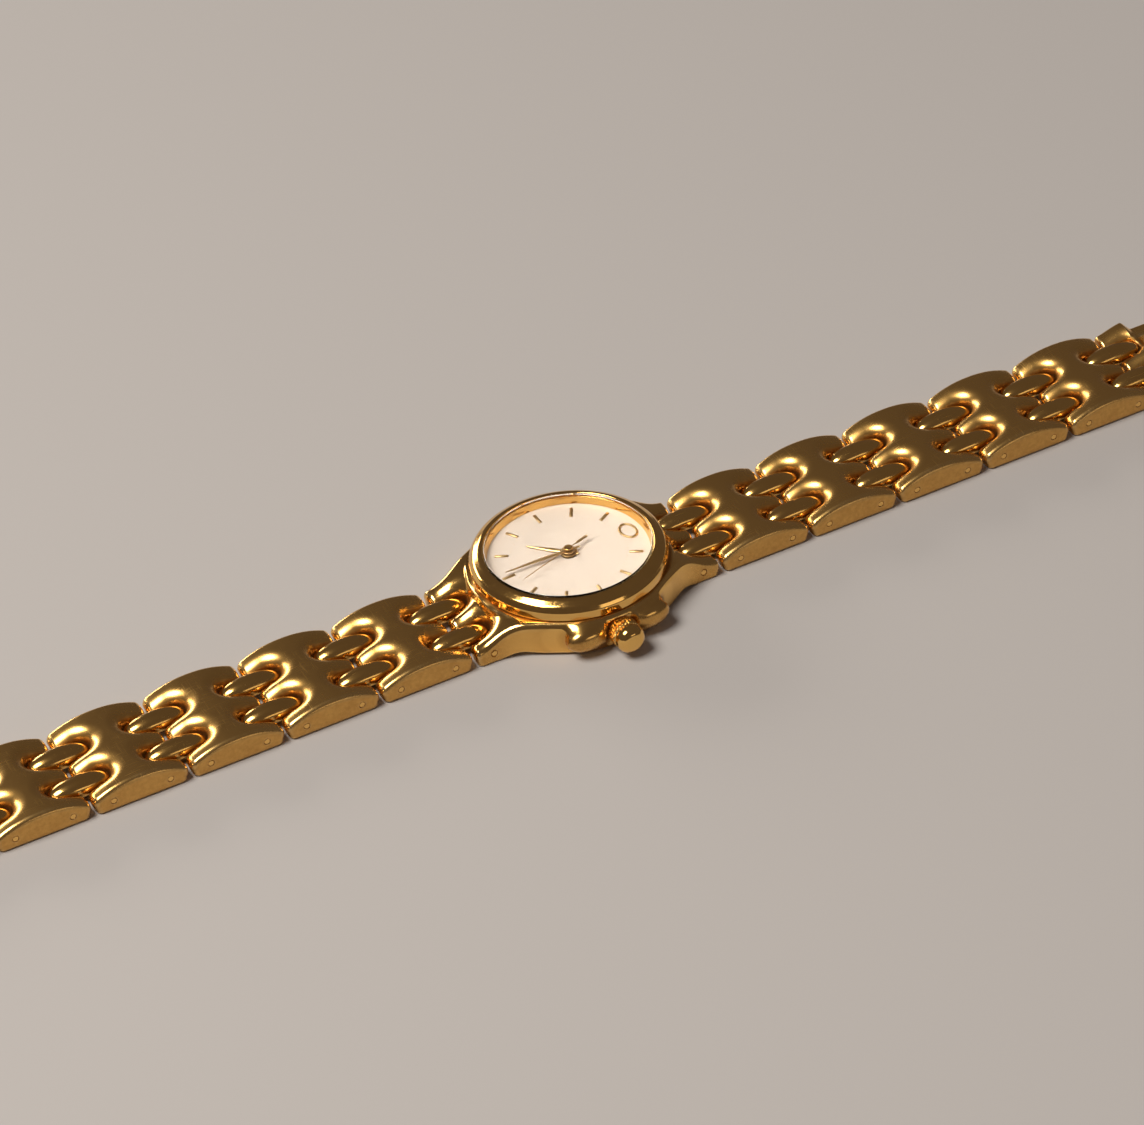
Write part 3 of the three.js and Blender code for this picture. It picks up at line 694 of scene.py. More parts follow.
# bracelet, in millimetres
bracelet = {"halfWidth": 6.7, "slotMiddle": 2.725, "slotHalf": 1.475, "slotRound": 3.375,
            "halfLength": 5.525, "tipHeight": 1.85, "middleHeight": 3.2, "archPower": 2.2,
            "archSlope": 0.93, "roll": 1.1, "rollSpread": 0.66, "crest": 0.2, "flankEdge": 0.6,
            "tipEdge": 0.6, "footEdge": 0.4, "footTurn": 16.0, "pinReach": 3.3, "pinHeight": 1.25,
            "holeRadius": 0.37, "linksPerSide": 5, "boxLow": (-5.8, -6.95, -0.3),
            "boxHigh": (5.8, 6.95, 3.5), "step": 0.13}
bead = {"halfLength": 3.5, "halfWidth": 1.34, "low": 0.22, "high": 2.69, "plan": 2.5, "side": 2.0,
        "section": 2.05, "steps": (96, 56)}
pin = {"radius": 0.364, "halfLength": 6.69, "dome": 0.12, "pinOffset": 2.35}
firstGap, linkPitch, lastGap = 15.3, 11.3, 71.8


# A long rounded bead, roughly: (|x|/length)^p plus the round section's radius to the same power is
# one on the surface. It is used only to find the hollows that get painted shade.
def beadField(x, y, z, middleX, middleY):
    height = (bead["high"] - bead["low"]) / 2
    u = np.abs(x - middleX) / bead["halfLength"]
    v = np.abs(y - middleY) / bead["halfWidth"]
    w = np.abs(z - (bead["high"] + bead["low"]) / 2) / height
    size = (u ** bead["plan"] + (v ** 2 + w ** 2) ** (bead["plan"] / 2)) ** (1 / bead["plan"])
    return (size - 1) * height


# slot wall distance, from a slot whose round end is centred at (roundAt, middle) and runs outwards
def slotField(out, across, roundAt):
    softAcross = np.sqrt(across ** 2 + bracelet["crest"] ** 2)
    return bracelet["slotHalf"] - np.hypot(np.minimum(out - roundAt, 0),
                                           softAcross - bracelet["slotMiddle"])


# the sloped foot below a bar tip: a plane that leans in by the foot angle under the pin
def tipPlane(out, z, tip):
    turn = math.radians(bracelet["footTurn"])
    lean = (out - tip) * math.cos(turn) + (bracelet["pinHeight"] - z) * math.sin(turn)
    return np.maximum(out - tip, lean)


# A link: an arched bar, z up to tip + rise (1 - |x/half|^power), with four slots whose rims are
# rolled, tips leaning in below, flat flanks and two pin holes across.
def linkField(x, y, z):
    b = bracelet
    out = np.abs(x)
    fall = np.clip(out / b["halfLength"], 0, 1.1) ** b["archPower"]
    arch = b["tipHeight"] + (b["middleHeight"] - b["tipHeight"]) * (1 - fall)
    crown = (z - arch) * b["archSlope"]
    slot = slotField(out, y, b["slotRound"])
    body = rolledEdge(crown, slot * b["rollSpread"], b["roll"])
    body = rolledEdge(body, np.abs(y) - b["halfWidth"], b["flankEdge"])
    body = rolledEdge(body, tipPlane(out, z, b["halfLength"]), b["tipEdge"])
    body = rolledEdge(body, -z, b["footEdge"])
    hole = b["holeRadius"] - np.hypot(out - b["pinReach"], z - b["pinHeight"])
    return np.maximum(body, hole)


# a link with the beads at both its ends, to find its hollows for the painted shade
def linkAround(x, y, z):
    near = linkField(x, y, z)
    for middleY in (-bracelet["slotMiddle"], bracelet["slotMiddle"]):
        near = np.minimum(near, beadField(np.abs(x), y, z, linkPitch / 2, middleY))
    return near


linkPoints, linkFaces, linkNormals = skin(linkField, bracelet["boxLow"], bracelet["boxHigh"],
                                          bracelet["step"])
# hollow mask: painted shade in the link's hollows and on its flanks
linkMasks = wearAndShadeMasks(linkPoints, linkNormals, linkField, linkAround)
for side in ("top", "bottom"):
    for index in range(1, bracelet["linksPerSide"] + 1):
        name = f"link_{side}_{index}"
        low, high = boxOf(name)
        offset = np.array([(low[0] + high[0]) / 2, (low[1] + high[1]) / 2, low[2]])
        addPiece(f"mainLink_{side}_{index}", linkPoints + offset, linkFaces, braceletGold, name,
                 [name], linkNormals, linkMasks)
print("main links", len(linkPoints), "points each")


# A bead: at each x = L sin a the half width is W (1 - |sin a|^p)^(1/p) and the half height is the
# same with a rounder power, and the section between them is a nearly round oval.
def beadSurface():
    rows, columns = bead["steps"]
    middle = (bead["high"] + bead["low"]) / 2
    height = (bead["high"] - bead["low"]) / 2
    along = np.sin(np.linspace(-np.pi / 2, np.pi / 2, rows))[1:-1, None]
    around = np.arange(columns)[None] * 2 * np.pi / columns
    bend = lambda value, power: np.sign(value) * np.abs(value) ** power
    girth = (1 - np.abs(along) ** bead["plan"]) ** (1 / bead["plan"])
    rise = (1 - np.abs(along) ** bead["side"]) ** (1 / bead["side"])
    x = bead["halfLength"] * along * np.ones_like(around)
    y = bead["halfWidth"] * girth * bend(np.cos(around), 2 / bead["section"])
    z = middle + height * rise * bend(np.sin(around), 2 / bead["section"])
    points = np.stack([x, y, z], 2).reshape(-1, 3)
    poles = [[-bead["halfLength"], 0, middle], [bead["halfLength"], 0, middle]]
    points = np.concatenate([points, poles])
    rows -= 2
    faces = [gridFaces(rows, columns, False, True)[:, ::-1]]
    ring = np.arange(columns)
    nextRing = (ring + 1) % columns
    faces.append(np.stack([np.full(columns, rows * columns), nextRing, ring], 1)[:, ::-1])
    last = (rows - 1) * columns
    faces.append(np.stack([np.full(columns, rows * columns + 1), last + ring,
                           last + nextRing], 1)[:, ::-1])
    return points, faces


# a hinge pin: a turned rod with domed ends, laid along Y
def pinSurface(pin):
    reach, radius, dome = pin["halfLength"], pin["radius"], pin["dome"]
    line = [(0, -reach, 0), (radius, -reach, dome), (radius, reach, dome), (0, reach, 0)]
    return laid(turned(line, False, 40, 1.0, 5))


beadPoints, beadFaces = beadSurface()
pinPoints, pinFaces, pinNormals = pinSurface(pin)
for side, sign in (("top", 1), ("bottom", -1)):
    for index in range(1, bracelet["linksPerSide"] + 2):
        nodeName = f"beads_{side}_{index}"
        body = f"bead_pair_{side}_{index}"
        low, high = boxOf(nodeName)
        middleX = (low[0] + high[0]) / 2
        for label, y in (("near", -bracelet["slotMiddle"]), ("far", bracelet["slotMiddle"])):
            addPiece(f"bead_{side}_{index}_{label}", beadPoints + np.array([middleX, y, 0]),
                     beadFaces, beadGold, body, [nodeName])
        for label, x in (("inner", -pin["pinOffset"] * sign), ("outer", pin["pinOffset"] * sign)):
            offset = np.array([middleX + x, 0, bracelet["pinHeight"]])
            addPiece(f"hingePin_{side}_{index}_{label}", pinPoints + offset, pinFaces, beadGold,
                     body, [nodeName], pinNormals)
print("beads and pins")

# watch case
case = {"radius": 11.5, "top": 4.2, "foot": 0.25, "lugTip": 15.175, "halfWidth": 6.7, "flare": 3.0,
        "slotRound": 13.025, "lugLow": 2.1, "lugRise": 1.04, "lugStart": 9.3, "topSlope": 0.94,
        "cornerEdge": 0.4, "ringBlend": (0.15, 0.35), "roll": 1.2, "edge": 0.85, "tipEdge": 0.6,
        "footEdge": 0.3, "footEnd": (10.6, 12.4), "bore": 9.5, "backRecess": 10.0,
        "backDepth": 0.85, "neckMiddle": (9.8, 4.2), "neckHalf": (0.3, 0.75), "tubeHole": 0.95,
        "crownHeight": 2.4, "guardPlace": (3.7, -11.05, 2.3), "guardSize": (2.5, 1.32, 1.5),
        "guardGap": 1.95, "guardEdge": 0.18, "guardBlend": 0.9, "pinX": 12.95, "liftAt": 9.9,
        "lift": 0.28, "liftWidth": 1.3, "bezelHalf": (11, 5.3, 1.05),
        "boxLow": (-15.5, -12.9, -0.3), "boxHigh": (15.5, 11.8, 5.25), "step": 0.155}


# height of the case top: a half cosine from the lug tips up to the ring
def lugTop(out):
    share = np.clip((out - case["lugStart"]) / (case["lugTip"] - case["lugStart"]), 0, 1)
    return case["lugLow"] + case["lugRise"] * (1 + np.cos(np.pi * share))


# The case: a round ring and a broad bar in one plan with a flare in each corner, under a falling
# top, with rolled slots at both ends, two crown guards, and the bores cut through.
def caseField(x, y, z):
    c = case
    out = np.abs(x)
    far = np.hypot(x, y)
    bar = rolledEdge(out - c["lugTip"], np.abs(y) - c["halfWidth"], c["cornerEdge"])
    plan = filleted(far - c["radius"], bar, c["flare"])
    past, span = c["ringBlend"]
    inRing = smoothStep(c["radius"] + past - far, 0, span)
    top = lugTop(out) + (c["top"] - lugTop(out)) * inRing
    slot = slotField(out, y, c["slotRound"]) * bracelet["rollSpread"]
    body = rolledEdge((z - top) * c["topSlope"], slot, c["roll"])
    body = rolledEdge(body, plan, c["edge"])
    body = rolledEdge(body, tipPlane(out, z, c["lugTip"]), c["tipEdge"])
    rise = c["foot"] * (1 - smoothStep(out, *c["footEnd"]))
    rise = rise + c["lift"] * np.exp(-((out - c["liftAt"]) / c["liftWidth"]) ** 2)
    body = rolledEdge(body, rise - z, c["footEdge"])
    gx, gy, gz = c["guardPlace"]
    sx, sy, sz = c["guardSize"]
    guard = np.sqrt(((out - gx) / sx) ** 2 + ((y - gy) / sy) ** 2 + ((z - gz) / sz) ** 2)
    guard = rolledEdge((guard - 1) * sy, c["guardGap"] - out, c["guardEdge"])
    body = filleted(body, guard, c["guardBlend"])
    (neckFar, neckUp), (halfFar, halfUp) = c["neckMiddle"], c["neckHalf"]
    neck = np.maximum(np.abs(far - neckFar) - halfFar, np.abs(z - neckUp) - halfUp)
    body = np.minimum(body, neck)
    body = np.maximum(body, c["bore"] - far)
    body = np.maximum(body, -np.maximum(far - c["backRecess"], z - c["backDepth"]))
    tubeHole = c["tubeHole"] - np.hypot(x, z - c["crownHeight"])
    body = np.maximum(body, np.where(y < 0, tubeHole, -9))
    return np.maximum(body, lugPinHole(out, z))


# the hole for the first hinge pin in each lug
def lugPinHole(out, z):
    return bracelet["holeRadius"] - np.hypot(out - case["pinX"], z - bracelet["pinHeight"])


# the case with its bezel and the first beads, to find its hollows for the painted shade
def caseAround(x, y, z):
    near = caseField(x, y, z)
    radius, middle, half = case["bezelHalf"]
    near = np.minimum(near, np.maximum(np.hypot(x, y) - radius, np.abs(z - middle) - half))
    for middleY in (-bracelet["slotMiddle"], bracelet["slotMiddle"]):
        near = np.minimum(near, beadField(np.abs(x), y, z, firstGap, middleY))
    return near


casePoints, caseFaces, caseNormals = skin(caseField, case["boxLow"], case["boxHigh"], case["step"])
# hollow mask: painted shade in the case's hollows and on its flanks
caseMasks = wearAndShadeMasks(casePoints, caseNormals, caseField, caseAround)
addPiece("watchCase", casePoints, caseFaces, caseGold, "watch_head", ["case_body"],
         caseNormals, caseMasks)
print("case", len(casePoints), "points")

# Turned pieces of the head. Each side line is (radius, height, corner radius), and an open line runs
# from the axis to the axis. "turn" holds the steps round, the longest side and the steps in an arc.
turnedPieces = {
    "bezelRing": {"node": "bezel", "slot": "case_gold", "finish": bezelGold, "closed": True,
                  "turn": (320, 0.4, 10),
                  "line": [(10.15, 4.28, 0.03), (10.99, 4.28, 0.12), (10.99, 5.25, 0.6),
                           (10.62, 5.87, 1.1), (9.85, 6.34, 1.6), (9.5, 6.4, 0.25),
                           (9.39, 6.19, 0.04), (9.61, 6.18, 0.02), (9.61, 5.05, 0.03),
                           (10.15, 5.05, 0.03)]},
    "crystalDisc": {"node": "crystal", "slot": "crystal_glass", "finish": crystalGlass,
                    "closed": False, "turn": (192, 0.8, 7),
                    "line": [(0, 5.79, 0), (9.29, 5.79, 0.05), (9.29, 6.42, 0.14), (6, 6.54, 8),
                             (0, 6.59, 0)]},
    "flangeRing": {"node": "flange_ring", "slot": "case_gold", "finish": bezelGold,
                   "closed": True, "turn": (256, 0.5, 5),
                   "line": [(8.93, 4.75, 0.03), (9.41, 4.75, 0.03), (9.41, 5.65, 0.03),
                            (9.2, 5.65, 0.06)]},
    "crystalGasket": {"node": "crystal_gasket", "slot": "gasket_nylon", "finish": nylonTintAndGoldReflection,
                      "closed": True, "turn": (192, 0.5, 5),
                      "line": [(9.35, 5.73, 0.1), (9.55, 5.73, 0.1), (9.55, 6.14, 0.1),
                               (9.35, 6.14, 0.1)]},
    "backGasket": {"node": "case_back_gasket", "slot": "gasket_rubber", "finish": gasketRubber,
                   "closed": True, "turn": (192, 0.5, 5),
                   "line": [(9.16, 0.85, 0.12), (9.44, 0.85, 0.12), (9.44, 1.19, 0.12),
                            (9.16, 1.19, 0.12)]},
    "caseBack": {"node": "case_back", "slot": "back_steel", "finish": backSteel, "closed": False,
                 "turn": (256, 0.6, 6),
                 "line": [(0, 0.06, 0), (6.9, 0.06, 0.1), (7.05, 0.0, 0.1), (9.66, 0, 0.2),
                          (9.89, 0.2, 0.15), (9.89, 0.77, 0.05), (9.09, 0.77, 0.05),
                          (9.09, 1.34, 0.08), (8.71, 1.34, 0.08), (8.71, 0.77, 0.05),
                          (0, 0.77, 0)]},
}
for label, look in turnedPieces.items():
    points, faces, normals = turned(look["line"], look["closed"], *look["turn"])
    addPiece(label, points, faces, look["finish"], "watch_head", [look["node"]],
             normals)
print("bezel, glass, flange, gaskets, back")

# dial and its markers
dial = {"radius": 9.29, "low": 4.31, "top": 4.7, "hole": 0.86, "markerRadius": 7.35,
        "batonLength": 1.5, "batonWidth": 0.36, "batonHeight": 0.15, "ovalRadius": 0.86,
        "ovalStretch": 1.45, "ovalWire": 0.14, "dotRadius": 0.05, "dotCircle": 6.42,
        "dotLevels": ((1.0, -0.01), (1.0, 0.012), (0.5, 0.03)), "dotTop": 0.035, "dotFoot": -0.01,
        "dotSides": 8}
dialLine = [(dial["hole"], dial["low"], 0.04), (dial["radius"], dial["low"], 0.05),
            (dial["radius"], dial["top"], 0.06), (dial["hole"], dial["top"], 0.04)]
points, faces, normals = turned(dialLine, True, 256, 0.8, 5)
addPiece("dialPlate", points, faces, dialLacquer, "watch_head", ["dial"], normals)


# a straight bar with a roof-shaped top: a ring of section points carried along its length,
# drawn in at each end
def baton(length, width, height, base):
    share = np.array([-1, -1, -0.96, 0.96, 1, 1])
    shrink = np.array([0.0, 0.8, 1, 1, 0.8, 0.0])
    section = np.array([[-0.5, 0], [0.5, 0], [0.5, 0.45], [0.28, 0.85], [0.1, 1], [-0.1, 1],
                        [-0.28, 0.85], [-0.5, 0.45]])
    across = section[None, :, 0] * width * shrink[:, None]
    up = (section[None, :, 1] - 0.4) * height * shrink[:, None] + 0.4 * height + base
    along = share[:, None] * length / 2 * np.ones((1, len(section)))
    points = np.stack([along, across, up], 2).reshape(-1, 3)
    return points, gridFaces(len(share), len(section), False, True)[:, ::-1]


# turns points about the dial's axis
def turnedFlat(points, angle):
    c, s = math.cos(angle), math.sin(angle)
    return points @ np.array([[c, s, 0], [-s, c, 0], [0, 0, 1]])


batonPoints, batonFaces = baton(dial["batonLength"], dial["batonWidth"], dial["batonHeight"],
                                dial["top"])
for hour in range(1, 12):
    points = turnedFlat(batonPoints + np.array([dial["markerRadius"], 0, 0]), -math.pi * hour / 6)
    addPiece(f"hourBaton_{hour}", points, [batonFaces], markerGold, "watch_head", ["dial"])


# The oval at twelve: a round wire carried round an ellipse, (a cos t, b sin t), flattened below.
def ovalRing():
    steps, girth = 96, 16
    t = np.arange(steps)[:, None] * 2 * np.pi / steps
    q = np.arange(girth)[None] * 2 * np.pi / girth
    wire = dial["ovalWire"]
    longer = dial["ovalRadius"] * dial["ovalStretch"]
    x = (dial["ovalRadius"] + wire * np.cos(q)) * np.cos(t) + dial["markerRadius"]
    y = (longer + wire * np.cos(q)) * np.sin(t)
    z = dial["top"] + wire * 0.55 + wire * 0.8 * np.sin(q) * np.ones_like(t)
    points = np.stack([x, y, np.clip(z, dial["top"] - 0.02, None)], 2).reshape(-1, 3)
    return points, gridFaces(steps, girth, True, True)


ovalPoints, ovalFaces = ovalRing()
addPiece("twelveOval", ovalPoints, [ovalFaces], markerGold, "watch_head", ["dial"])


# Minute dots: a low dome on each minute that isn't an hour. A dome is rings of points at rising
# levels, (r cos q, r sin q, level), closed by one point above and one below.
def minuteDots():
    angle = np.array([a for a in range(60) if a % 5]) * math.pi / 30
    sides, levels = dial["dotSides"], np.array(dial["dotLevels"])
    ring = np.arange(sides) * 2 * math.pi / sides
    x = levels[:, None, 0] * dial["dotRadius"] * np.cos(ring)
    y = levels[:, None, 0] * dial["dotRadius"] * np.sin(ring)
    z = levels[:, None, 1] * np.ones(sides) + dial["top"]
    poles = [[0, 0, dial["top"] + dial["dotTop"]], [0, 0, dial["top"] + dial["dotFoot"]]]
    dome = np.concatenate([np.stack([x, y, z], 2).reshape(-1, 3), poles])
    centres = np.stack([np.cos(angle), np.sin(angle), 0 * angle], 1) * dial["dotCircle"]
    points = (centres[:, None] + dome[None]).reshape(-1, 3)
    quads = gridFaces(len(levels), sides, False, True)[:, ::-1]
    k = np.arange(sides)
    last = (len(levels) - 1) * sides
    cap = np.stack([last + k, last + (k + 1) % sides, np.full(sides, last + sides)], 1)
    floor = np.stack([(k + 1) % sides, k, np.full(sides, last + sides + 1)], 1)
    starts = (np.arange(len(angle)) * len(dome))[:, None, None]
    return points, [(f[None] + starts).reshape(-1, f.shape[1]) for f in (quads, cap, floor)]


dotPoints, dotFaces = minuteDots()
addPiece("minuteDots", dotPoints, dotFaces, markerGold, "watch_head", ["dial"])
print("dial and markers")

# Hands. "stations" are places along the blade and "swell" is the half width there, as a share of
# "width"; "turns" is the share of a turn that gives the time.
hands = {
    "hour_hand": {"body": "hours", "reach": 4.9, "tail": 1.15, "width": 0.6, "low": 4.93,
                  "high": 5.02, "hub": 0.95, "hole": 0.73, "turns": (7 + 30.45 / 60) / 12,
                  "stations": (-1.15, -1.0, 0, 2.1, 4.7, 4.9),
                  "swell": (0.2, 0.34, 0.4, 0.5, 0.14, 0.03)},
    "minute_hand": {"body": "minutes", "reach": 7.6, "tail": 1.35, "width": 0.52, "low": 5.17,
                    "high": 5.26, "hub": 0.76, "hole": 0.45, "turns": 30.45 / 60,
                    "stations": (-1.35, -1.2, 0, 3.2, 7.3, 7.6),
                    "swell": (0.2, 0.34, 0.4, 0.5, 0.14, 0.03)},
    "seconds_hand": {"body": "seconds", "reach": 6.8, "tail": 2.95, "width": 0.14, "low": 5.41,
                     "high": 5.48, "hub": 0.42, "hole": 0.17, "turns": 27 / 60,
                     "stations": (-2.95, -2.85, -1.5, -1.2, 0, 6.6, 6.8),
                     "swell": (0.6, 1.35, 1.35, 0.5, 0.5, 0.3, 0.1)},
}
bladeSteps = 60
capLine = [(0, 5.48, 0), (0.5, 5.48, 0.03), (0.5, 5.6, 0.1), (0.2, 5.655, 0.3), (0, 5.655, 0)]


# A blade: a roof-shaped section carried from tail to point, its half width swelling a little past
# the hub and falling to a fine tip.
def blade(look):
    share = np.linspace(-look["tail"], look["reach"], bladeSteps)
    swell = np.interp(share, look["stations"], look["swell"]) * look["width"]
    height = look["high"] - look["low"]
    section = np.array([[-1, 0], [1, 0], [1, 0.35], [0.12, 1], [-0.12, 1], [-1, 0.35]])
    count = len(section)
    x = share[:, None] * np.ones((1, count))
    y = section[None, :, 0] * swell[:, None]
    z = look["low"] + section[None, :, 1] * height * np.ones((bladeSteps, 1))
    points = np.stack([x, y, z], 2).reshape(-1, 3)
    start = np.arange(count)[None]
    end = start[:, ::-1] + (bladeSteps - 1) * count
    return points, [gridFaces(bladeSteps, count, False, True)[:, ::-1], start, end]


for handName, look in hands.items():
    angle = -2 * math.pi * look["turns"]
    points, faces = blade(look)
    hubLine = [(look["hole"], look["low"], 0.01), (look["hub"], look["low"], 0.02),
               (look["hub"], look["high"], 0.04), (look["hole"], look["high"], 0.02)]
    hub = turned(hubLine, True, 64, 0.5, 4)
    label = handName.replace("_hand", "Hand")
    addPiece(label + "Blade", turnedFlat(points, angle), faces, handGold, look["body"], [handName])
    addPiece(label + "Hub", hub[0], hub[1], handGold, look["body"], [handName], hub[2])
cap = turned(capLine, False, 64, 0.5, 5)
addPiece("handCap", cap[0], cap[1], beadGold, "seconds", ["seconds_hand"], cap[2])
print("hands")

# Crown. "side" is (radius, distance out, share of the flute's depth there) and "dome" is
# (radius, distance out, corner radius).
crown = {"height": 2.4, "teeth": 26, "depth": 0.14, "sharpness": 4, "stepsPerTooth": 12,
         "side": ((0, 12.98, 0), (0.98, 12.98, 0), (0.98, 11.9, 0), (1.02, 11.86, 0),
                  (1.5, 11.86, 0), (1.6, 11.88, 0.3), (1.68, 11.98, 0.9), (1.7, 12.1, 1),
                  (1.7, 12.5, 1), (1.7, 12.9, 1), (1.69, 13.05, 0.9), (1.62, 13.16, 0.4),
                  (1.5, 13.21, 0), (1.3, 13.22, 0), (0, 13.22, 0)),
         "dome": ((0, 13.21, 0), (1.5, 13.21, 0.05), (1.66, 13.5, 0.3), (1.6, 14.25, 0.9),
                  (1.05, 14.75, 0.9), (0.4, 14.87, 0.8), (0, 14.89, 0))}


# The knurl: radius = side - depth * |cos(teeth * a / 2)|^sharpness along the fluted band, eased to
# plain at both ends of the band, and closed by a flat inner face with a well for the tube.
def crownKnurl():
    steps = crown["teeth"] * crown["stepsPerTooth"]
    line = np.array(crown["side"])
    angle = np.arange(steps)[:, None] * 2 * np.pi / steps
    flute = np.abs(np.cos(crown["teeth"] * angle / 2)) ** crown["sharpness"]
    groove = crown["depth"] * flute * line[None, 1:-1, 2]
    radius = line[None, 1:-1, 0] - groove
    along = line[None, 1:-1, 1] * np.ones_like(angle)
    points = np.stack([radius * np.cos(angle), radius * np.sin(angle), along], 2).reshape(-1, 3)
    width = len(line) - 2
    points = np.concatenate([points, [[0, 0, line[0, 1]], [0, 0, line[-1, 1]]]])
    around = np.arange(steps)
    nextAround = (around + 1) % steps
    first, last = np.full(steps, len(points) - 2), np.full(steps, len(points) - 1)
    end = width - 1
    faces = [gridFaces(steps, width, True, False),
             np.stack([first, nextAround * width, around * width], 1),
             np.stack([around * width + end, nextAround * width + end, last], 1)]
    return points @ layDown + np.array([0, 0, crown["height"]]), faces


knurlPoints, knurlFaces = crownKnurl()
addPiece("crownKnurl", knurlPoints, knurlFaces, beadGold, "winding_crown", ["crown"])
dome = laid(turned(crown["dome"], False, 96, 0.12, 9), (0, 0, crown["height"]))
addPiece("crownDome", dome[0], dome[1], bezelGold, "winding_crown", ["crown"], dome[2])
print("crown")

# Clasp and end link, measured outwards from the last gap. A block is its lowest corner, its highest
# corner and its edge radius.
endBars = {"browRise": 0.9, "browSpan": (-0.6, 4), "topSlope": 0.9, "fallSpan": (1.5, 0.05),
           "widthLoss": 0.02, "tip": -0.125, "tipEdge": 0.3, "slotRound": 2.275, "pinAt": 2.35}
endLink = {"reach": 4.8, "foot": 1.5, "arm": ((3.6, 3.6, 0.45), (7.78, 5.6, 2.05), 0.4),
           "armBlend": 0.25, "barAt": 7.0, "barHeight": 1.25, "barRadius": 0.6, "barHalf": 4.5,
           "barBlend": 0.12}
claspBase = {"reach": 5.15, "foot": 0.9, "plate": ((4.6, -5.88, 0.02), (22.1, 5.88, 1.0), 0.25),
             "barrelRadius": 0.67, "barrelHalf": 5.88,
             "neck": ((6.0, -5.88, 0.5), (7.2, 5.88, 1.7), 0.1),
             "tongue": ((21.4, -3.28, 0.02), (25.08, 3.28, 0.5), 0.12),
             "stop": ((21.6, -3.28, 0.3), (22.8, 3.28, 1.78), 0.18),
             "lip": ((24.4, -3.28, 0.3), (25.08, 3.28, 1.88), 0.2),
             "plateBlend": 0.3, "barrelBlend": 0.15, "barrelFoot": 0.05, "troughBlend": 0.2}
claspCover = {"top": 3.0, "camber": 0.10, "halfWidth": 6.69, "sideEdge": 0.55, "end": 25.58,
              "endEdge": 0.3, "earRadius": 1.05, "earInside": 6.09, "topStart": 7.32,
              "footLow": 0.6, "footDrop": 0.2, "dropSpan": (7, 24), "inside": 6.1, "ceiling": 2.42}
hinge = {"at": 6.6, "height": 1.7, "hole": 0.46}
hingePin = {"radius": 0.38, "halfLength": 6.58, "dome": 0.1}
claspStep = 0.14


# an end bar's slot wall distance, its round end facing outwards
def endSlot(out, y):
    past = np.maximum(out - endBars["slotRound"], 0)
    return bracelet["slotHalf"] - np.hypot(past, np.abs(y) - bracelet["slotMiddle"])


# a block with rounded edges: the length of what lies past each of its three half sizes
def boxField(out, y, z, low, high, edge):
    sides = [np.abs(v - (a + b) / 2) - (b - a) / 2 + edge for v, a,
             b in zip((out, y, z), low, high)]
    outside = np.sqrt(sum(np.maximum(s, 0) ** 2 for s in sides))
    return outside + np.minimum(np.maximum(np.maximum(sides[0], sides[1]), sides[2]), 0) - edge


def hingeDistance(out, z):
    return np.hypot(out - hinge["at"], z - hinge["height"])


# three short bars with rolled slots, rising to a soft brow and falling to the end
def endBarsField(out, y, z, reach, foot):
    b, e = bracelet, endBars
    brow = b["tipHeight"] + e["browRise"]
    rise = b["tipHeight"] + e["browRise"] * smoothStep(out, *e["browSpan"])
    before, past = e["fallSpan"]
    fall = foot + (brow - foot) * (1 - smoothStep(out, reach - before, reach + past))
    top = (z - np.minimum(rise, fall)) * e["topSlope"]
    body = rolledEdge(top, endSlot(out, y) * b["rollSpread"], b["roll"])
    body = rolledEdge(body, np.abs(y) - b["halfWidth"] + e["widthLoss"], b["flankEdge"])
    body = rolledEdge(body, np.maximum(tipPlane(-out, z, e["tip"]), out - reach), e["tipEdge"])
    body = rolledEdge(body, -z, b["footEdge"])
    return np.maximum(body, b["holeRadius"] - np.hypot(out - e["pinAt"], z - b["pinHeight"]))


# the end link: the bars, an arm on each side and a round cross bar between the arms
def endLinkField(out, y, z):
    e = endLink
    body = endBarsField(out, y, z, e["reach"], e["foot"])
    arm = boxField(out, np.abs(y), z, *e["arm"])
    bar = np.hypot(out - e["barAt"], z - e["barHeight"]) - e["barRadius"]
    bar = np.maximum(bar, np.abs(y) - e["barHalf"])
    return filleted(filleted(body, arm, e["armBlend"]), bar, e["barBlend"])


# the clasp base: the bars, a plate with the hinge barrel across it, and a hook at its far end made
# of a tongue, a stop and a lip
def claspBaseField(out, y, z):
    c = claspBase
    body = endBarsField(out, y, z, c["reach"], c["foot"])
    plate = boxField(out, y, z, *c["plate"])
    barrel = np.maximum(hingeDistance(out, z) - c["barrelRadius"], np.abs(y) - c["barrelHalf"])
    neck = boxField(out, y, z, *c["neck"])
    tongue = boxField(out, y, z, *c["tongue"])
    hook = filleted(tongue, boxField(out, y, z, *c["stop"]), c["troughBlend"])
    hook = filleted(hook, boxField(out, y, z, *c["lip"]), c["troughBlend"])
    barrel = filleted(np.minimum(barrel, neck), plate, c["barrelBlend"])
    body = filleted(filleted(body, plate, c["plateBlend"]), barrel, c["barrelFoot"])
    return np.maximum(np.minimum(body, hook), hinge["hole"] - hingeDistance(out, z))


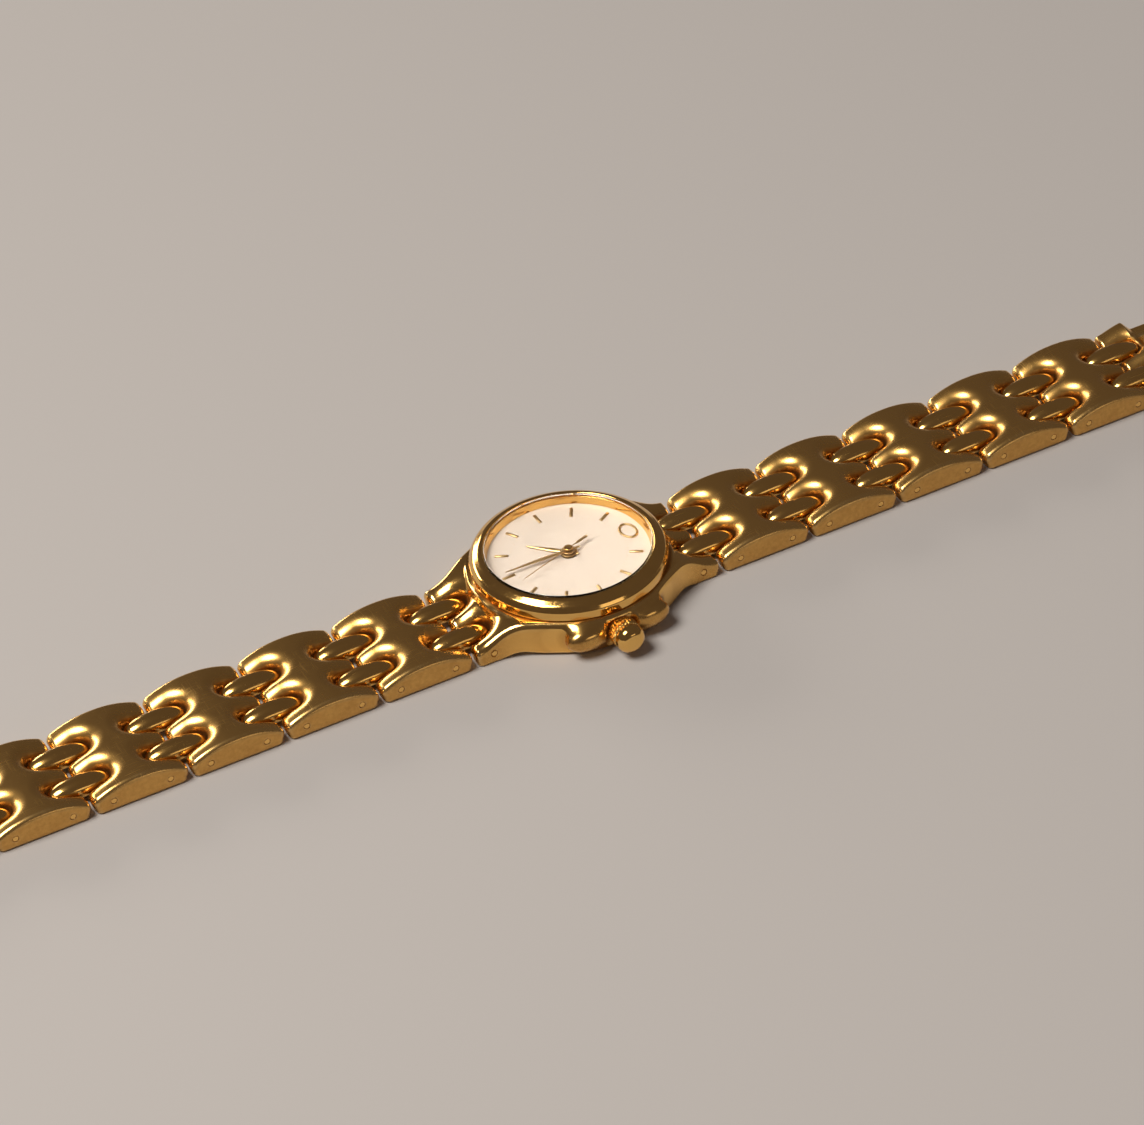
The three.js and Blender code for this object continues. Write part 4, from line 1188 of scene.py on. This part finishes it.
# The cover: a flattened tube section, |y| and z rounded into each other, open below, with its
# top a little crowned and its hinge ears running down round the pin.
def claspCoverField(out, y, z):
    c = claspCover
    top = c["top"] - c["camber"] * (np.abs(y) / bracelet["halfWidth"]) ** 2
    shell = rolledEdge(z - top, np.abs(y) - c["halfWidth"], c["sideEdge"])
    shell = rolledEdge(shell, out - c["end"], c["endEdge"])
    ear = np.minimum(hingeDistance(out, z) - c["earRadius"], hinge["at"] - out)
    shell = np.maximum(shell, np.where(np.abs(y) > c["earInside"], ear, c["topStart"] - out))
    foot = c["footLow"] - c["footDrop"] * smoothStep(out, *c["dropSpan"])
    shell = np.maximum(shell, foot - z)
    hollowShade = np.maximum(np.abs(y) - c["inside"], z - c["ceiling"])
    shell = np.maximum(shell, -hollowShade)
    return np.maximum(shell, hinge["hole"] - hingeDistance(out, z))


# a piece turned half round about Z, for the other end of the bracelet
def turnedHalf(made):
    flip = np.array([-1.0, -1.0, 1.0])
    return made[0] * flip, made[1], made[2] * flip


claspJobs = (
    ("endLink", endLinkField, (-0.3, -7, -0.3), (8.1, 7, 3.2), 1, "end_link"),
    ("claspBase", claspBaseField, (-0.3, -7, -0.3), (25.5, 7, 3.2), -1, "clasp_base"),
    ("claspCover", claspCoverField, (5.2, -7, 0.1), (25.9, 7, 3.3), -1, "clasp_cover"),
)
for label, field, low, high, sign, body in claspJobs:
    made = skin(field, low, high, claspStep)
    # hollow mask: painted shade in the clasp's hollows and on its flanks
    masks = wearAndShadeMasks(made[0], made[2], field, field)
    made = shifted(made, (lastGap, 0, 0))
    if sign < 0:
        made = turnedHalf(made)
    addPiece(label, made[0], made[1], braceletGold, body, [body], made[2], masks)
    print(label, len(made[0]), "points")

points, faces, normals = shifted(pinSurface(hingePin), (-lastGap - hinge["at"], 0, hinge["height"]))
addPiece("claspPin", points, faces, beadGold, "clasp_base", ["clasp_pin"], normals)

# parts behind the dial keep their frame shapes and take their own finishes
hiddenFinish = {"crown_tube": movementBrass, "crown_stem": movementSteel,
                "setting_yoke": movementSteel, "movement_holder": holderPlastic,
                "main_plate": movementBrass, "train_bridge": movementSteel,
                "battery_cell": movementSteel, "battery_clamp": movementSteel, "coil": coilCopper,
                "stator": movementSteel, "circuit_board": circuitGreen, "rotor": movementSteel,
                "step_wheel": movementBrass, "third_wheel": movementBrass,
                "seconds_wheel": movementBrass, "centre_wheel": movementBrass,
                "hour_wheel": movementBrass, "minute_wheel": movementBrass, }
for name, material in hiddenFinish.items():
    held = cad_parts[name]
    held.data.materials.clear()
    held.data.materials.append(material)
print("movement finishes")
